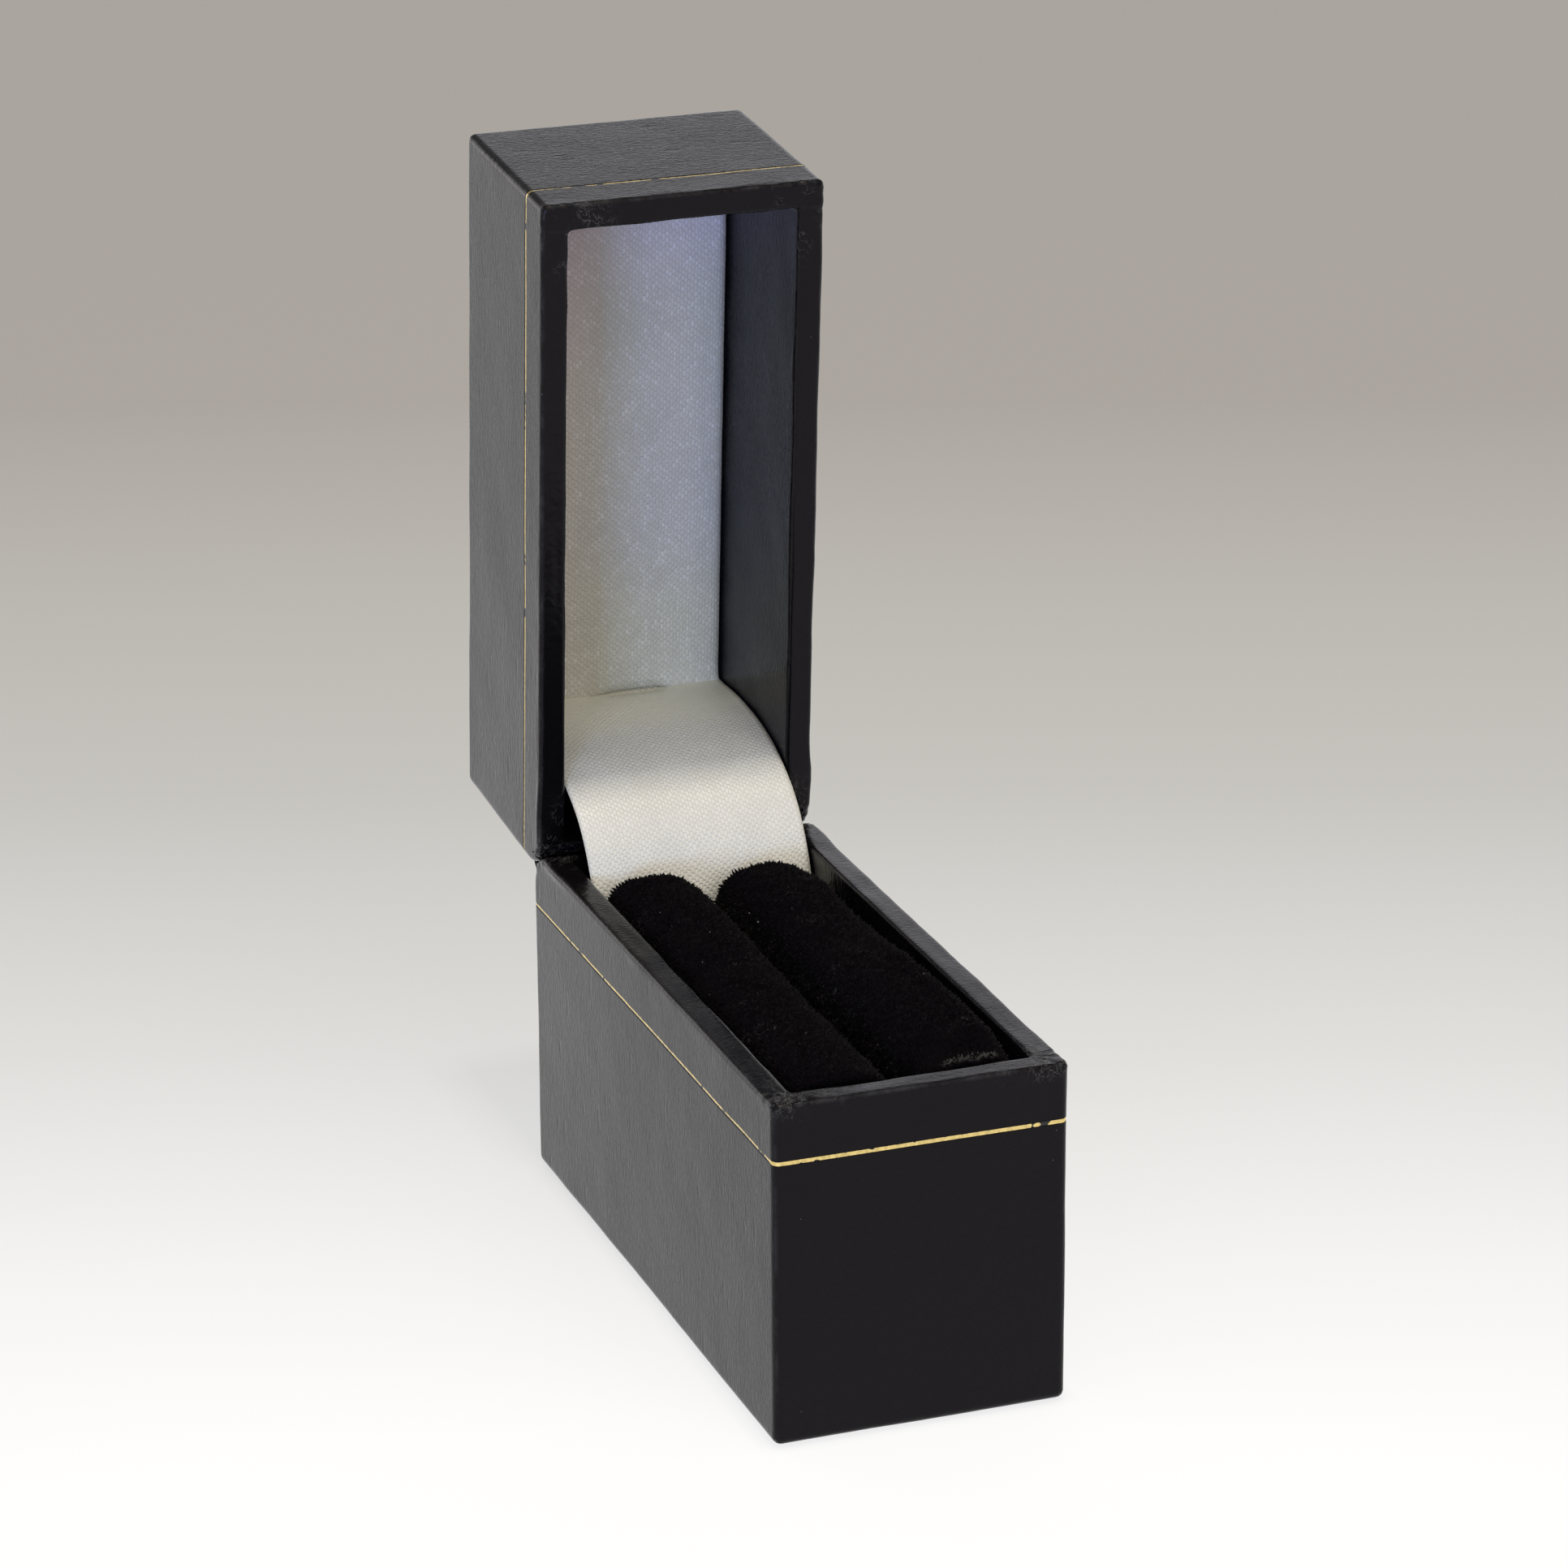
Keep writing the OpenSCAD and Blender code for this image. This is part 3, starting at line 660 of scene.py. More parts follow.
def satin_weave(colours, name, painted_glint_share):
    """A satin's material but for its Base Color; returns it with the plain satin's colour."""
    made = Finish(name)
    cloth = made.node("UVMap", uv_map="cloth")
    weave = made.use(weave_group(), Vector=cloth)
    slubs = made.noise(9.0, 5.0, cloth, Roughness=0.6)
    plain = made.layers(
        toned(colours.satin, 0.93),
        (made.ramp(slubs, 0.3, 0.7), colours.satin),
        (0.3 - 0.3 * weave["Float share"], toned(colours.satin, 0.6)),
        # painted glints: near-white highlights painted on the floats, by the share given for each satin
        (painted_glint_share * weave["Sparkle"], (0.95, 0.95, 0.94)),
    )
    made.set(Roughness=0.5 - 0.12 * weave["Float share"], Sheen_Weight=0.15, Sheen_Roughness=0.4)
    made.bump(weave["Height"], 0.05)
    return made, plain


def strap_finish(colours):
    """The strap's satin, with painted light that makes it paler near the crease."""
    made, plain = satin_weave(colours, "satin_strap", 0.2)
    # painted light: the strap is painted paler and creamier towards the crease
    painted_light_near_crease = made.ramp(made.parts()["Y"], 0.039, 0.0475)
    pale = [c * by for c, by in zip(colours.satin, (1.27, 1.27, 1.16))]
    made.set(Base_Color=made.mix(0.88 * painted_light_near_crease, plain, pale))
    return made.material


def lining_finish(colours):
    """The lining's satin, with painted light in its colour inside the lid: painted lilac light at its top, painted
    warm shade at its left, painted cream light at the crease, and painted shade over its left and middle.
    """
    made, plain = satin_weave(colours, "satin_lining", 0.6)
    x, z = made.parts()["X"], made.parts()["Z"]
    # painted light: cream at the crease, a bluish white above it and lilac at the top
    cream, white, lilac = (0.97, 0.97, 0.9), (0.9, 0.91, 0.98), (1.0, 0.96, 1.3)
    # painted warm shade at the left, pinker towards the top
    painted_warm_shade = made.mix(made.ramp(z, 0.07, 0.1), (0.87, 0.82, 0.8), (0.87, 0.73, 0.89))
    # painted shade over the left and the middle, weaker near the top
    painted_shade_left = made.ramp(x, 0.009, 0.003) * made.ramp(z, 0.105, 0.09, 0.2, 1.0)
    painted_light_tint = made.layers(
        cream,
        (made.ramp(z, 0.052, 0.066), white),
        (made.ramp(z, 0.086, 0.106), lilac),
        (0.22 * painted_shade_left, (0.2, 0.2, 0.2)),
        (0.9 * made.ramp(x, 0.0, -0.007), painted_warm_shade),
    )
    made.set(Base_Color=made.mix(1.0, plain, painted_light_tint, "MULTIPLY"))
    return made.material


def fibre_finish(name, shade, scale, depth_mm, contrast=0.25, roughness=0.9, painted_shade_heights=None):
    """A dry, fibrous stuff: board, card, foam or wadding, with painted shade that blackens it between two heights.
    """
    made = Finish(name)
    fibres = made.use(fibre_group(), Scale=scale)
    stains = made.ramp(made.noise(90.0, 3.0), 0.5, 0.7)
    tone = made.layers(
        shade, (contrast * fibres["Flecks"], toned(shade, 0.5)), (0.2 * stains, toned(shade, 0.7))
    )
    if painted_shade_heights:
        # painted shade: nearly black between the two heights, easing off above the higher one
        low, high = painted_shade_heights
        z = made.parts()["Z"]
        painted_shade = made.ramp(z, low, low + 0.4 * MM) * made.ramp(z, high + 2 * MM, high)
        tone = made.mix(0.96 * painted_shade, tone, (0.003, 0.0025, 0.003))
    made.set(Base_Color=tone, Roughness=0.08 * fibres["Flecks"] + (roughness - 0.08))
    made.bump(fibres["Height"], depth_mm)
    return made.material


def metal_finish(name, shade, roughness, scratches):
    """Plain pressed metal with fine scratches and a little tarnish."""
    made = Finish(name)
    lines = made.node("Mapping", {"Vector": made.place, "Scale": (scratches, 120.0, 120.0)})
    scratch = made.noise(9.0, 5.0, lines)
    tarnish = made.ramp(made.noise(500.0, 4.0), 0.5, 0.72)
    tone = made.mix(tarnish, shade, toned(shade, 0.55))
    made.set(Base_Color=tone, Roughness=0.3 * scratch + roughness, Metallic=1.0)
    made.bump(scratch, 0.01)
    return made.material


@functools.cache
def finish(name):
    """A finish by its name, made when it is first asked for."""
    colours = chosen("colours")
    makers = {
        "leatherette": lambda: leatherette_finish(colours),
        "gold": lambda: gold_finish(colours),
        "velvet": lambda: velvet_finish(colours),
        "strap": lambda: strap_finish(colours),
        "lining": lambda: lining_finish(colours),
        "board": lambda: fibre_finish("greyboard", colours.board, 1100.0, 0.04),
        # the pulp card gets painted shade from 16.8 mm up to 40 mm, where the tray lies between the rolls
        "card": lambda: fibre_finish("pulp_card", colours.card, 1500.0, 0.03, painted_shade_heights=(16.8 * MM, 40 * MM)),
        "foam": lambda: fibre_finish("foam", colours.foam, 2200.0, 0.15, 0.5, 0.95),
        "wadding": lambda: fibre_finish("wadding", colours.wadding, 700.0, 0.2, 0.15, 0.98),
        "steel": lambda: metal_finish("pressed_steel", colours.steel, 0.25, 15.0),
        "spring_steel": lambda: metal_finish("blued_spring_steel", colours.spring, 0.2, 15.0),
        "tack_brass": lambda: metal_finish("brassed_tacks", colours.tack, 0.28, 120.0),
    }
    return makers[name]()


# ---- the covered bodies ---------------------------------------------------------------------------------


class Covering:
    """The leatherette of one body, drawn foot down at z = 0 with its rim up, as a skin without thickness."""

    # two places nearer than this are the same
    NEAR = 1e-5
    # the trough for the hinge's knuckles: its radius, its half width, and the pin's height over the rim
    ROOM, ROOM_HALF, PIN_OVER_RIM = 1.25 * MM, 7.75 * MM, 0.075 * MM

    def __init__(self, name, height, turn_in, open_foot, line_drop, seed):
        self.sizes = chosen("sizes")
        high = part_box("base_cover")[1]
        self.half_x, self.half_y = high.x, high.y
        self.height, self.line_z, self.seed = height, height - line_drop, seed
        self.in_x, self.in_y = self.half_x - self.sizes.wall, self.half_y - self.sizes.wall
        self.piece = self.shell(name, turn_in, open_foot)
        self.round_edges()
        self.cut_fine()
        self.mark_edges()
        self.shape()

    def shell(self, name, turn_in, open_foot):
        piece = primitive(
            bpy.ops.mesh.primitive_cube_add,
            name,
            size=1,
            location=(0, 0, self.height / 2),
            scale=(2 * self.half_x, 2 * self.half_y, self.height),
        )
        with faces_selected(piece, lambda centre, normal: normal.z > 0.5):
            bpy.ops.mesh.inset(thickness=self.sizes.wall)
            bpy.ops.mesh.extrude_region_move(TRANSFORM_OT_translate={"value": (0, 0, -turn_in)})
            bpy.ops.mesh.delete(type="ONLY_FACE")
        if open_foot:
            with faces_selected(piece, lambda centre, normal: normal.z < -0.5):
                bpy.ops.mesh.inset(thickness=self.sizes.turn_under)
                bpy.ops.mesh.delete(type="ONLY_FACE")
        return piece

    def edge_radius(self, a, b):
        """The radius of the edge between two corners of the sharp shell."""
        middle, sizes = (a + b) / 2, self.sizes
        x, y = abs(middle.x), abs(middle.y)
        outside = x > self.in_x + self.NEAR or y > self.in_y + self.NEAR
        if abs(b.z - a.z) > 10 * self.NEAR:
            return sizes.edge_radius if outside else sizes.mouth_radius * 1.6
        if middle.z > self.height - self.NEAR:
            return sizes.rim_radius if outside else sizes.mouth_radius
        at_side = abs(x - self.half_x) < self.NEAR or abs(y - self.half_y) < self.NEAR
        if middle.z < self.NEAR and at_side:
            return sizes.heel_radius if middle.y > self.half_y - self.NEAR else sizes.foot_radius
        return 0

    def round_edges(self):
        mesh, widest = self.piece.data, self.sizes.heel_radius
        weights = mesh.attributes.new("bevel_weight_edge", "FLOAT", "EDGE")
        for edge in mesh.edges:
            a, b = (mesh.vertices[i].co for i in edge.vertices)
            weights.data[edge.index].value = self.edge_radius(a, b) / widest
        apply_modifier(
            self.piece, "BEVEL", width=widest, segments=4, limit_method="WEIGHT", use_clamp_overlap=False
        )
        merge_and_face_out(self.piece)

    def cut_fine(self):
        """Cuts small faces, smaller near the edges, with cuts at the hinge's room and beside the gold line."""
        step, fine, reach = 1.5 * MM, 0.34 * MM, 3.8 * MM
        room_ends = [side * x for side in (-1, 1) for x in (7.7 * MM, 7.8 * MM)]
        groove, margins = self.sizes.line_width / 2, (0.03 * MM, -0.03 * MM)
        line_sides = [self.line_z + side * (groove + margin) for side in (-1, 1) for margin in margins]
        slice_mesh(self.piece, 0, stations(-self.half_x, self.half_x, step, fine, reach, reach) + room_ends)
        slice_mesh(self.piece, 1, stations(-self.half_y, self.half_y, step, fine, reach, reach))
        slice_mesh(self.piece, 2, stations(0, self.height, step, fine, 1.4 * MM, 4.1 * MM) + line_sides)
        merge_and_face_out(self.piece)

    def mark_edges(self):
        """Marks the edges that get rubbed, the mouth's corners, and what is turned in."""
        x, y, z = points_of(self.piece).T
        x, y, below = abs(x), abs(y), self.height - z
        outer = np.sort([self.half_x - x, self.half_y - y, below, z], axis=0)[1]
        inner = np.sort([abs(self.in_x - x), abs(self.in_y - y), below], axis=0)[1]
        mouth = 0.7 * np.exp(-inner / (0.5 * MM)) * (z > self.height - MM)
        corner = 1 - ease(np.hypot(self.in_x - x, self.in_y - y), 1.4 * MM, 6 * MM)
        within = (x < self.in_x + 0.6 * MM) & (y < self.in_y + 0.6 * MM)
        marks = {
            "edge": np.maximum(np.exp(-outer / (0.55 * MM)), mouth),
            "corner": corner * ease(z, self.height - 2 * MM, self.height - 0.5 * MM),
            # turned_in also places the painted navy reflected light on the inner walls
            "turned_in": within * ease(below, 0.1 * MM, 1.2 * MM) * (z > 2 * MM),
        }
        for name, values in marks.items():
            set_attribute(self.piece, name, values)

    def shape(self):
        """Gives the skin its soft waviness, its pleats, the groove, the round of the rim and the hinge's room."""
        points, normals = points_of(self.piece), normals_of(self.piece)
        x, y, z = points.T.copy()
        outside = (abs(x) > self.in_x + 1.2 * MM) | (abs(y) > self.in_y + 1.2 * MM)
        rim = ease(z, self.height - 1.2 * MM, self.height - 0.3 * MM)
        turned_in = ~outside & (z > 3 * MM)
        wave = self.sizes.waviness
        large, small, rim_large, inside, rim_small = (
            bumps(points, mm, self.seed + more) for mm, more in ((11, 0), (3.5, 1), (4, 2), (5, 4), (1.4, 3))
        )
        push = wave * large + 0.4 * wave * small
        push += rim * (0.9 * wave * rim_large + 0.5 * wave * rim_small)
        push += turned_in * 1.3 * wave * inside
        push += self.pleats(x, y, rim)
        # the covering lies double at the back corners
        doubled = bell(y - self.half_y + 6.5 * MM, 3 * MM) * ease(abs(x), self.in_x, self.half_x)
        push += 0.2 * MM * rim * doubled
        under_strip = (y > self.half_y - 0.5 * MM) & (abs(x) < chosen("satin").strip_width / 2 - 0.1 * MM)
        self.grooved = outside & (abs(z - self.line_z) < self.sizes.line_width / 2) & ~under_strip
        push -= self.grooved * self.sizes.line_depth
        points += normals * push[:, None]
        # the rims of both bodies meet without pressing into each other
        points[:, 2] = np.minimum(points[:, 2] - 0.06 * MM * rim, self.height - 0.012 * MM)
        self.roll_back_rim(points)
        self.make_hinge_room(points)
        set_points(self.piece, points)

    def pleats(self, x, y, rim):
        """Small folds that radiate from the mouth's corners over the rim."""
        height = np.zeros(len(x))
        for side_x in (-1, 1):
            for side_y in (-1, 1):
                dx, dy = x - side_x * self.in_x, y - side_y * self.in_y
                far, turn = np.hypot(dx, dy), np.arctan2(dy * side_y, dx * side_x)
                fade = band(far, 0.1 * MM, 0.7 * MM, 1.8 * MM, 4.2 * MM)
                folds = np.abs(np.sin(turn * 5.5 + self.seed + side_x)) - 0.4
                height += 0.16 * MM * folds * fade * (turn > -0.5) * (turn < 2.1)
        return height * rim

    def roll_back_rim(self, points):
        """Rounds the back of the rim and keeps the small radius along its sides."""
        radius = self.sizes.roll_over
        centre_y, centre_z = self.half_y - radius, self.height - radius
        out, up = points[:, 1] - centre_y, points[:, 2] - centre_z
        far, square = np.hypot(out, up), np.maximum(out, up)
        limit = radius + (square - radius) * ease(square, 0.6 * radius, 0.8 * radius)
        moved = (out > 0) & (up > 0) & (far > limit)
        share = np.where(moved, limit / np.maximum(far, 1e-9), 1)
        points[:, 1] = np.where(moved, centre_y + out * share, points[:, 1])
        points[:, 2] = np.where(moved, centre_z + up * share, points[:, 2])

    def make_hinge_room(self, points):
        """Presses a trough for the hinge's knuckles into the back of the rim."""
        from_pin = points[:, 1] - PIN.y
        floor = self.height + self.PIN_OVER_RIM - np.sqrt(np.maximum(self.ROOM**2 - from_pin**2, 0))
        inside = (abs(points[:, 0]) < self.ROOM_HALF) & (abs(from_pin) < self.ROOM) & (points[:, 2] > floor)
        points[:, 2] = np.where(inside, floor, points[:, 2])

    def cut_gold_line(self, name, thinnest):
        """A copy of the groove's floor, lifted a little: the foil. With no thinnest share its front is whole."""
        activate(self.piece)
        bpy.ops.object.duplicate()
        foil = bpy.context.object
        foil.name = foil.data.name = name
        x, y, z = points_of(foil).T
        if thinnest:
            side = ease(abs(x), self.half_x - 1.2 * MM, self.half_x - 0.4 * MM)
            thin = thinnest * (1 - 0.45 * side) + 0.5 * ease(y, 20 * MM, 25 * MM)
        else:
            thin = ease(y, 0.3 * MM - self.half_y, 2 * MM - self.half_y)
        set_attribute(foil, "across", (z - self.line_z) / (self.sizes.line_width / 2))
        set_attribute(foil, "thin", thin)
        kept = iter([all(self.grooved[i] for i in face.vertices) for face in foil.data.polygons])
        with faces_selected(foil, lambda centre, normal: not next(kept)):
            bpy.ops.mesh.delete(type="FACE")
        set_points(foil, points_of(foil) + normals_of(foil) * 0.06 * MM)
        thicken(foil, 0.05 * MM)
        smooth(foil, 50)
        return foil


def cover_body(body, height, open_foot, seed, thinnest, place):
    """Covers one body in leatherette with its gold line, and moves both to their place."""
    sizes = chosen("sizes")
    turn_in, line_drop = getattr(sizes, body + "_turn_in"), getattr(sizes, body + "_line_drop")
    covering = Covering(body + "_covering", height, turn_in, open_foot, line_drop, seed)
    line = covering.cut_gold_line(body + "_gold_line", thinnest)
    thicken(covering.piece, sizes.cover, use_quality_normals=True, use_rim=True)
    smooth(covering.piece, 55)
    for piece, slot, node in ((covering.piece, "leatherette", "_cover"), (line, "gold", "_gilt_line")):
        move_in_mesh(piece, place)
        dress(piece, body, slot, body + node)


class Step:
    """What the operators share"""

    bl_options = {"REGISTER", "UNDO"}


class RINGBOX_OT_base_covering(Step, bpy.types.Operator):
    """Covers the base in leatherette, with its gold line"""

    bl_idname = "ring_box.base_covering"
    bl_label = "Base Covering"

    def execute(self, context):
        low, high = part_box("base_cover")
        cover_body("base", high.z - low.z, True, 3, 0, Matrix.Translation((0, 0, low.z)))
        return {"FINISHED"}


class RINGBOX_OT_lid_covering(Step, bpy.types.Operator):
    """Covers the lid in leatherette, with its gold line"""

    bl_idname = "ring_box.lid_covering"
    bl_label = "Lid Covering"

    def execute(self, context):
        low, high = shut_box("lid_cover")
        upside_down = Matrix.Translation((0, 0, high.z)) @ Matrix.Rotation(math.pi, 4, "Y")
        cover_body("lid", high.z - low.z, False, 8, 0.95, OPENED @ upside_down)
        return {"FINISHED"}


# ---- the ring pad ---------------------------------------------------------------------------------------


class RollForm:
    """The form of one roll: a crowned round over flanks that draw in to the tray, closed at both ends."""

    # how square each shoulder is, from 2 for a circle: left and right
    SHOULDERS = {"left": (3.6, 2.1), "right": (2.9, 2.2)}

    def __init__(self, side, set_in):
        pad = chosen("pad")
        low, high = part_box("velvet_roll_" + side)
        self.side, self.set_in, self.pad = side, set_in, pad
        self.middle = (low.x + high.x) / 2
        self.front, self.back, self.foot = low.y + set_in, high.y + pad.reach_back - set_in, low.z
        self.radius = (high.x - low.x) / 2 - pad.crown
        self.centre_z = high.z - getattr(pad, "sink_" + side) - self.radius - pad.crown
        self.full_radius = self.radius_at((self.front + self.back) / 2)

    def radius_at(self, y):
        share = (2 * y - self.front - self.back) / (self.back - self.front)
        reach = np.minimum(y - self.front, self.back - y)
        end = self.pad.end_radius
        over = np.clip(end - reach, 0, end)
        full = self.radius + self.pad.crown * (1 - share**2) - self.set_in
        return full - end + np.sqrt(np.maximum(end**2 - over**2, 0))

    def section(self, closed, step):
        """Points in X and Z from one foot over the top to the other, for a full section."""
        radius = self.full_radius
        foot_x = radius - self.pad.draw_in
        turns = np.linspace(0, math.pi / 2, 60)
        bow = np.linspace(0, 1, 20)[:-1]
        left, right = self.SHOULDERS[self.side]

        def half(sign, square):
            x, z = foot_x + (radius - foot_x) * bow, self.foot + (self.centre_z - self.foot) * bow**0.6
            flank = np.stack([x, z], 1)
            x, z = (radius * wave(turns) ** (2 / square) for wave in (np.cos, np.sin))
            outline = np.concatenate([flank, np.stack([x, self.centre_z + z], 1)])
            if closed:
                outline = np.concatenate([[(0, self.foot), (foot_x / 2, self.foot)], outline])
            return outline * (sign, 1)

        outline = np.concatenate([half(-1, left), half(1, right)[-2::-1]])
        return along(outline, np.linspace(0, 1, int(path_runs(outline)[-1] / step)))

    def mesh(self, name, step, closed=False):
        """The roll's skin, with points about a step apart, open along its foot unless closed."""
        xs, zs = self.section(closed, step).T
        end = self.pad.end_radius
        turns = np.linspace(0, math.pi / 2, max(5, int(end * math.pi / 2 / step)))
        run = np.linspace(self.front + end, self.back - end, int((self.back - self.front) / step))[1:-1]
        front = self.front + end * (1 - np.cos(turns))
        ys = np.concatenate([front, run, (self.front + self.back - front)[::-1]])
        radii = self.radius_at(ys)
        cap = np.linspace(0, radii[0], max(3, int(radii[0] / step)))[:-1]
        ys = np.concatenate([np.full(len(cap), ys[0]), ys, np.full(len(cap), ys[-1])])
        radii = np.concatenate([cap, radii, cap[::-1]])
        piece, u, v = unit_grid(name, len(xs) - 1, len(ys) - 1)
        column = np.rint(u * (len(xs) - 1)).astype(int)
        row = np.rint(v * (len(ys) - 1)).astype(int)
        share = radii[row] / self.full_radius
        above = np.maximum(zs[column] - self.centre_z, 0)
        z = np.minimum(zs[column], self.centre_z) + above * share
        set_points(piece, np.stack([self.middle + xs[column] * share, ys[row], z], 1))
        merge_and_face_out(piece, 1e-6)
        return piece

    def settle(self, points):
        """Sags the left roll midway. Fills the right one's outer shoulder and drops its front end."""
        x, y, z = points.T.copy()
        top = ease(z, self.centre_z - 2 * MM, self.centre_z + 2 * MM)
        if self.side == "left":
            points[:, 2] -= 0.8 * MM * top * bell(y + 9 * MM, 17 * MM)
            return
        fuller = 1.1 - 0.55 * bell(y - 8 * MM, 8 * MM) + ease(-y, -2 * MM, 18 * MM)
        fuller *= 1 - 0.8 * ease(y, 17 * MM, 22 * MM)
        points[:, 2] += MM * top * fuller * (0.4 + 0.6 * ease(x - self.middle, 1.2 * MM, 4.2 * MM))
        points[:, 2] -= 1.3 * MM * top * (1 - ease(y, self.front, self.front + 5.5 * MM))


def raise_raw_edge(piece, points, front):
    """Stands the right roll's raw velvet edge up a little at the front, and marks it."""
    x, y, z = points.T
    lip = band(x, 4.2 * MM, 5.4 * MM, 8.4 * MM, 9.6 * MM) * (1 - ease(y, front, front + 2.2 * MM))
    points[:, 2] += lip * ease(z, 30.5 * MM, 34 * MM) * 0.35 * MM
    edge = bell(y - front - 0.62 * MM, 0.2 * MM) * band(x, 3.6 * MM, 4.4 * MM, 9 * MM, 9.8 * MM)
    set_attribute(piece, "raw", edge * ease(z, 33 * MM, 34 * MM))


def velvet_roll(side, seed):
    """One roll's velvet: an uneven cloth with a pile of short tufts."""
    pad = chosen("pad")
    rise = pad.pile * 0.75
    form = RollForm(side, rise)
    piece = form.mesh("velvet_" + side, pad.tuft_step)
    points, normals = points_of(piece), normals_of(piece)
    push = 0.14 * MM * bumps(points, 6, seed) + 0.07 * MM * bumps(points, 2, seed + 1)
    points += normals * push[:, None]
    form.settle(points)
    if side == "right":
        raise_raw_edge(piece, points, form.front)
    set_points(piece, points)
    outer = len(piece.data.polygons)
    thicken(piece, pad.velvet - pad.pile)
    roots = len(piece.data.vertices)
    count = iter(range(len(piece.data.polygons)))
    with faces_selected(piece, lambda centre, normal: next(count) < outer):
        bpy.ops.mesh.poke(offset=rise)
    # each tuft leans its own way, stands higher or lower with its clump, and now and then strays
    points, normals = points_of(piece), normals_of(piece)
    draw = random.Random(seed)
    tufts = range(len(points) - roots)
    jitter = np.array([[draw.gauss(0, 1) for _ in range(3)] for _ in tufts])
    points[roots:] += jitter * 0.08 * MM
    clumps = bumps(points[roots:], 0.9, seed + 2)
    strays = np.array([draw.random() ** 5 for _ in tufts])
    points[roots:] += normals[roots:] * (0.16 * MM * clumps + 0.27 * MM * strays)[:, None]
    set_points(piece, points)
    smooth(piece)
    return piece


def foam_core(side, seed):
    """The foam inside one roll's velvet, with a little room between them."""
    form = RollForm(side, chosen("pad").velvet + 0.12 * MM)
    piece = form.mesh("foam_" + side, 1.2 * MM, closed=True)
    points = points_of(piece)
    points += normals_of(piece) * (0.05 * MM * bumps(points, 3, seed))[:, None]
    form.settle(points)
    set_points(piece, points)
    smooth(piece, 60)
    return piece


class RINGBOX_OT_ring_rolls(Step, bpy.types.Operator):
    """Makes the two velvet rolls and their foam cores"""

    bl_idname = "ring_box.ring_rolls"
    bl_label = "Ring Rolls"

    def execute(self, context):
        for side, seed in (("left", 21), ("right", 34)):
            velvet = velvet_roll(side, seed)
            dress(velvet, "base", "velvet", "velvet_roll_" + side)
            core = foam_core(side, seed + 5)
            dress(core, "base", "foam", "foam_core_" + side)
        return {"FINISHED"}


# ---- satin ----------------------------------------------------------------------------------------------


def unit_grid(name, across, down):
    """A flat grid; returns it with each point's shares across and down, from 0 to 1."""
    piece = primitive(bpy.ops.mesh.primitive_grid_add, name, x_subdivisions=across, y_subdivisions=down, size=1)
    flat = points_of(piece)
    return piece, flat[:, 0] + 0.5, flat[:, 1] + 0.5


def scale_uv(piece, wide, long):
    """Names a sheet's UV map, and makes it true to size, with 1 for each 50 mm."""
    layer = piece.data.uv_layers[0]
    layer.name = "cloth"
    values = np.zeros(len(layer.data) * 2)
    layer.data.foreach_get("uv", values)
    values = values.reshape(-1, 2) * (wide / 0.05, long / 0.05)
    layer.data.foreach_set("uv", values.ravel())


def wrapped(share, low, high, radius, drop):
    """Runs over a card's edge: up one side, across and down the other. Gives place, depth and length."""
    turn = radius * math.pi / 2
    side = max(drop - radius, 0)
    total = 2 * (side + turn) + high - low - 2 * radius
    run = np.minimum(share, 1 - share) * total
    over = np.clip((run - side) / turn, 0, 1) * math.pi / 2
    depth = np.where(run < side, drop - run, radius * (1 - np.sin(over)))
    inward = radius * (1 - np.cos(over)) + np.maximum(run - side - turn, 0)
    return np.where(share < 0.5, low + inward, high - inward), depth, total


def crease_slit(x):
    """How open the crease between the lining and the strap is, across their width."""
    return band(x, -4.4 * MM, 1 * MM, 4.6 * MM, 7.4 * MM)


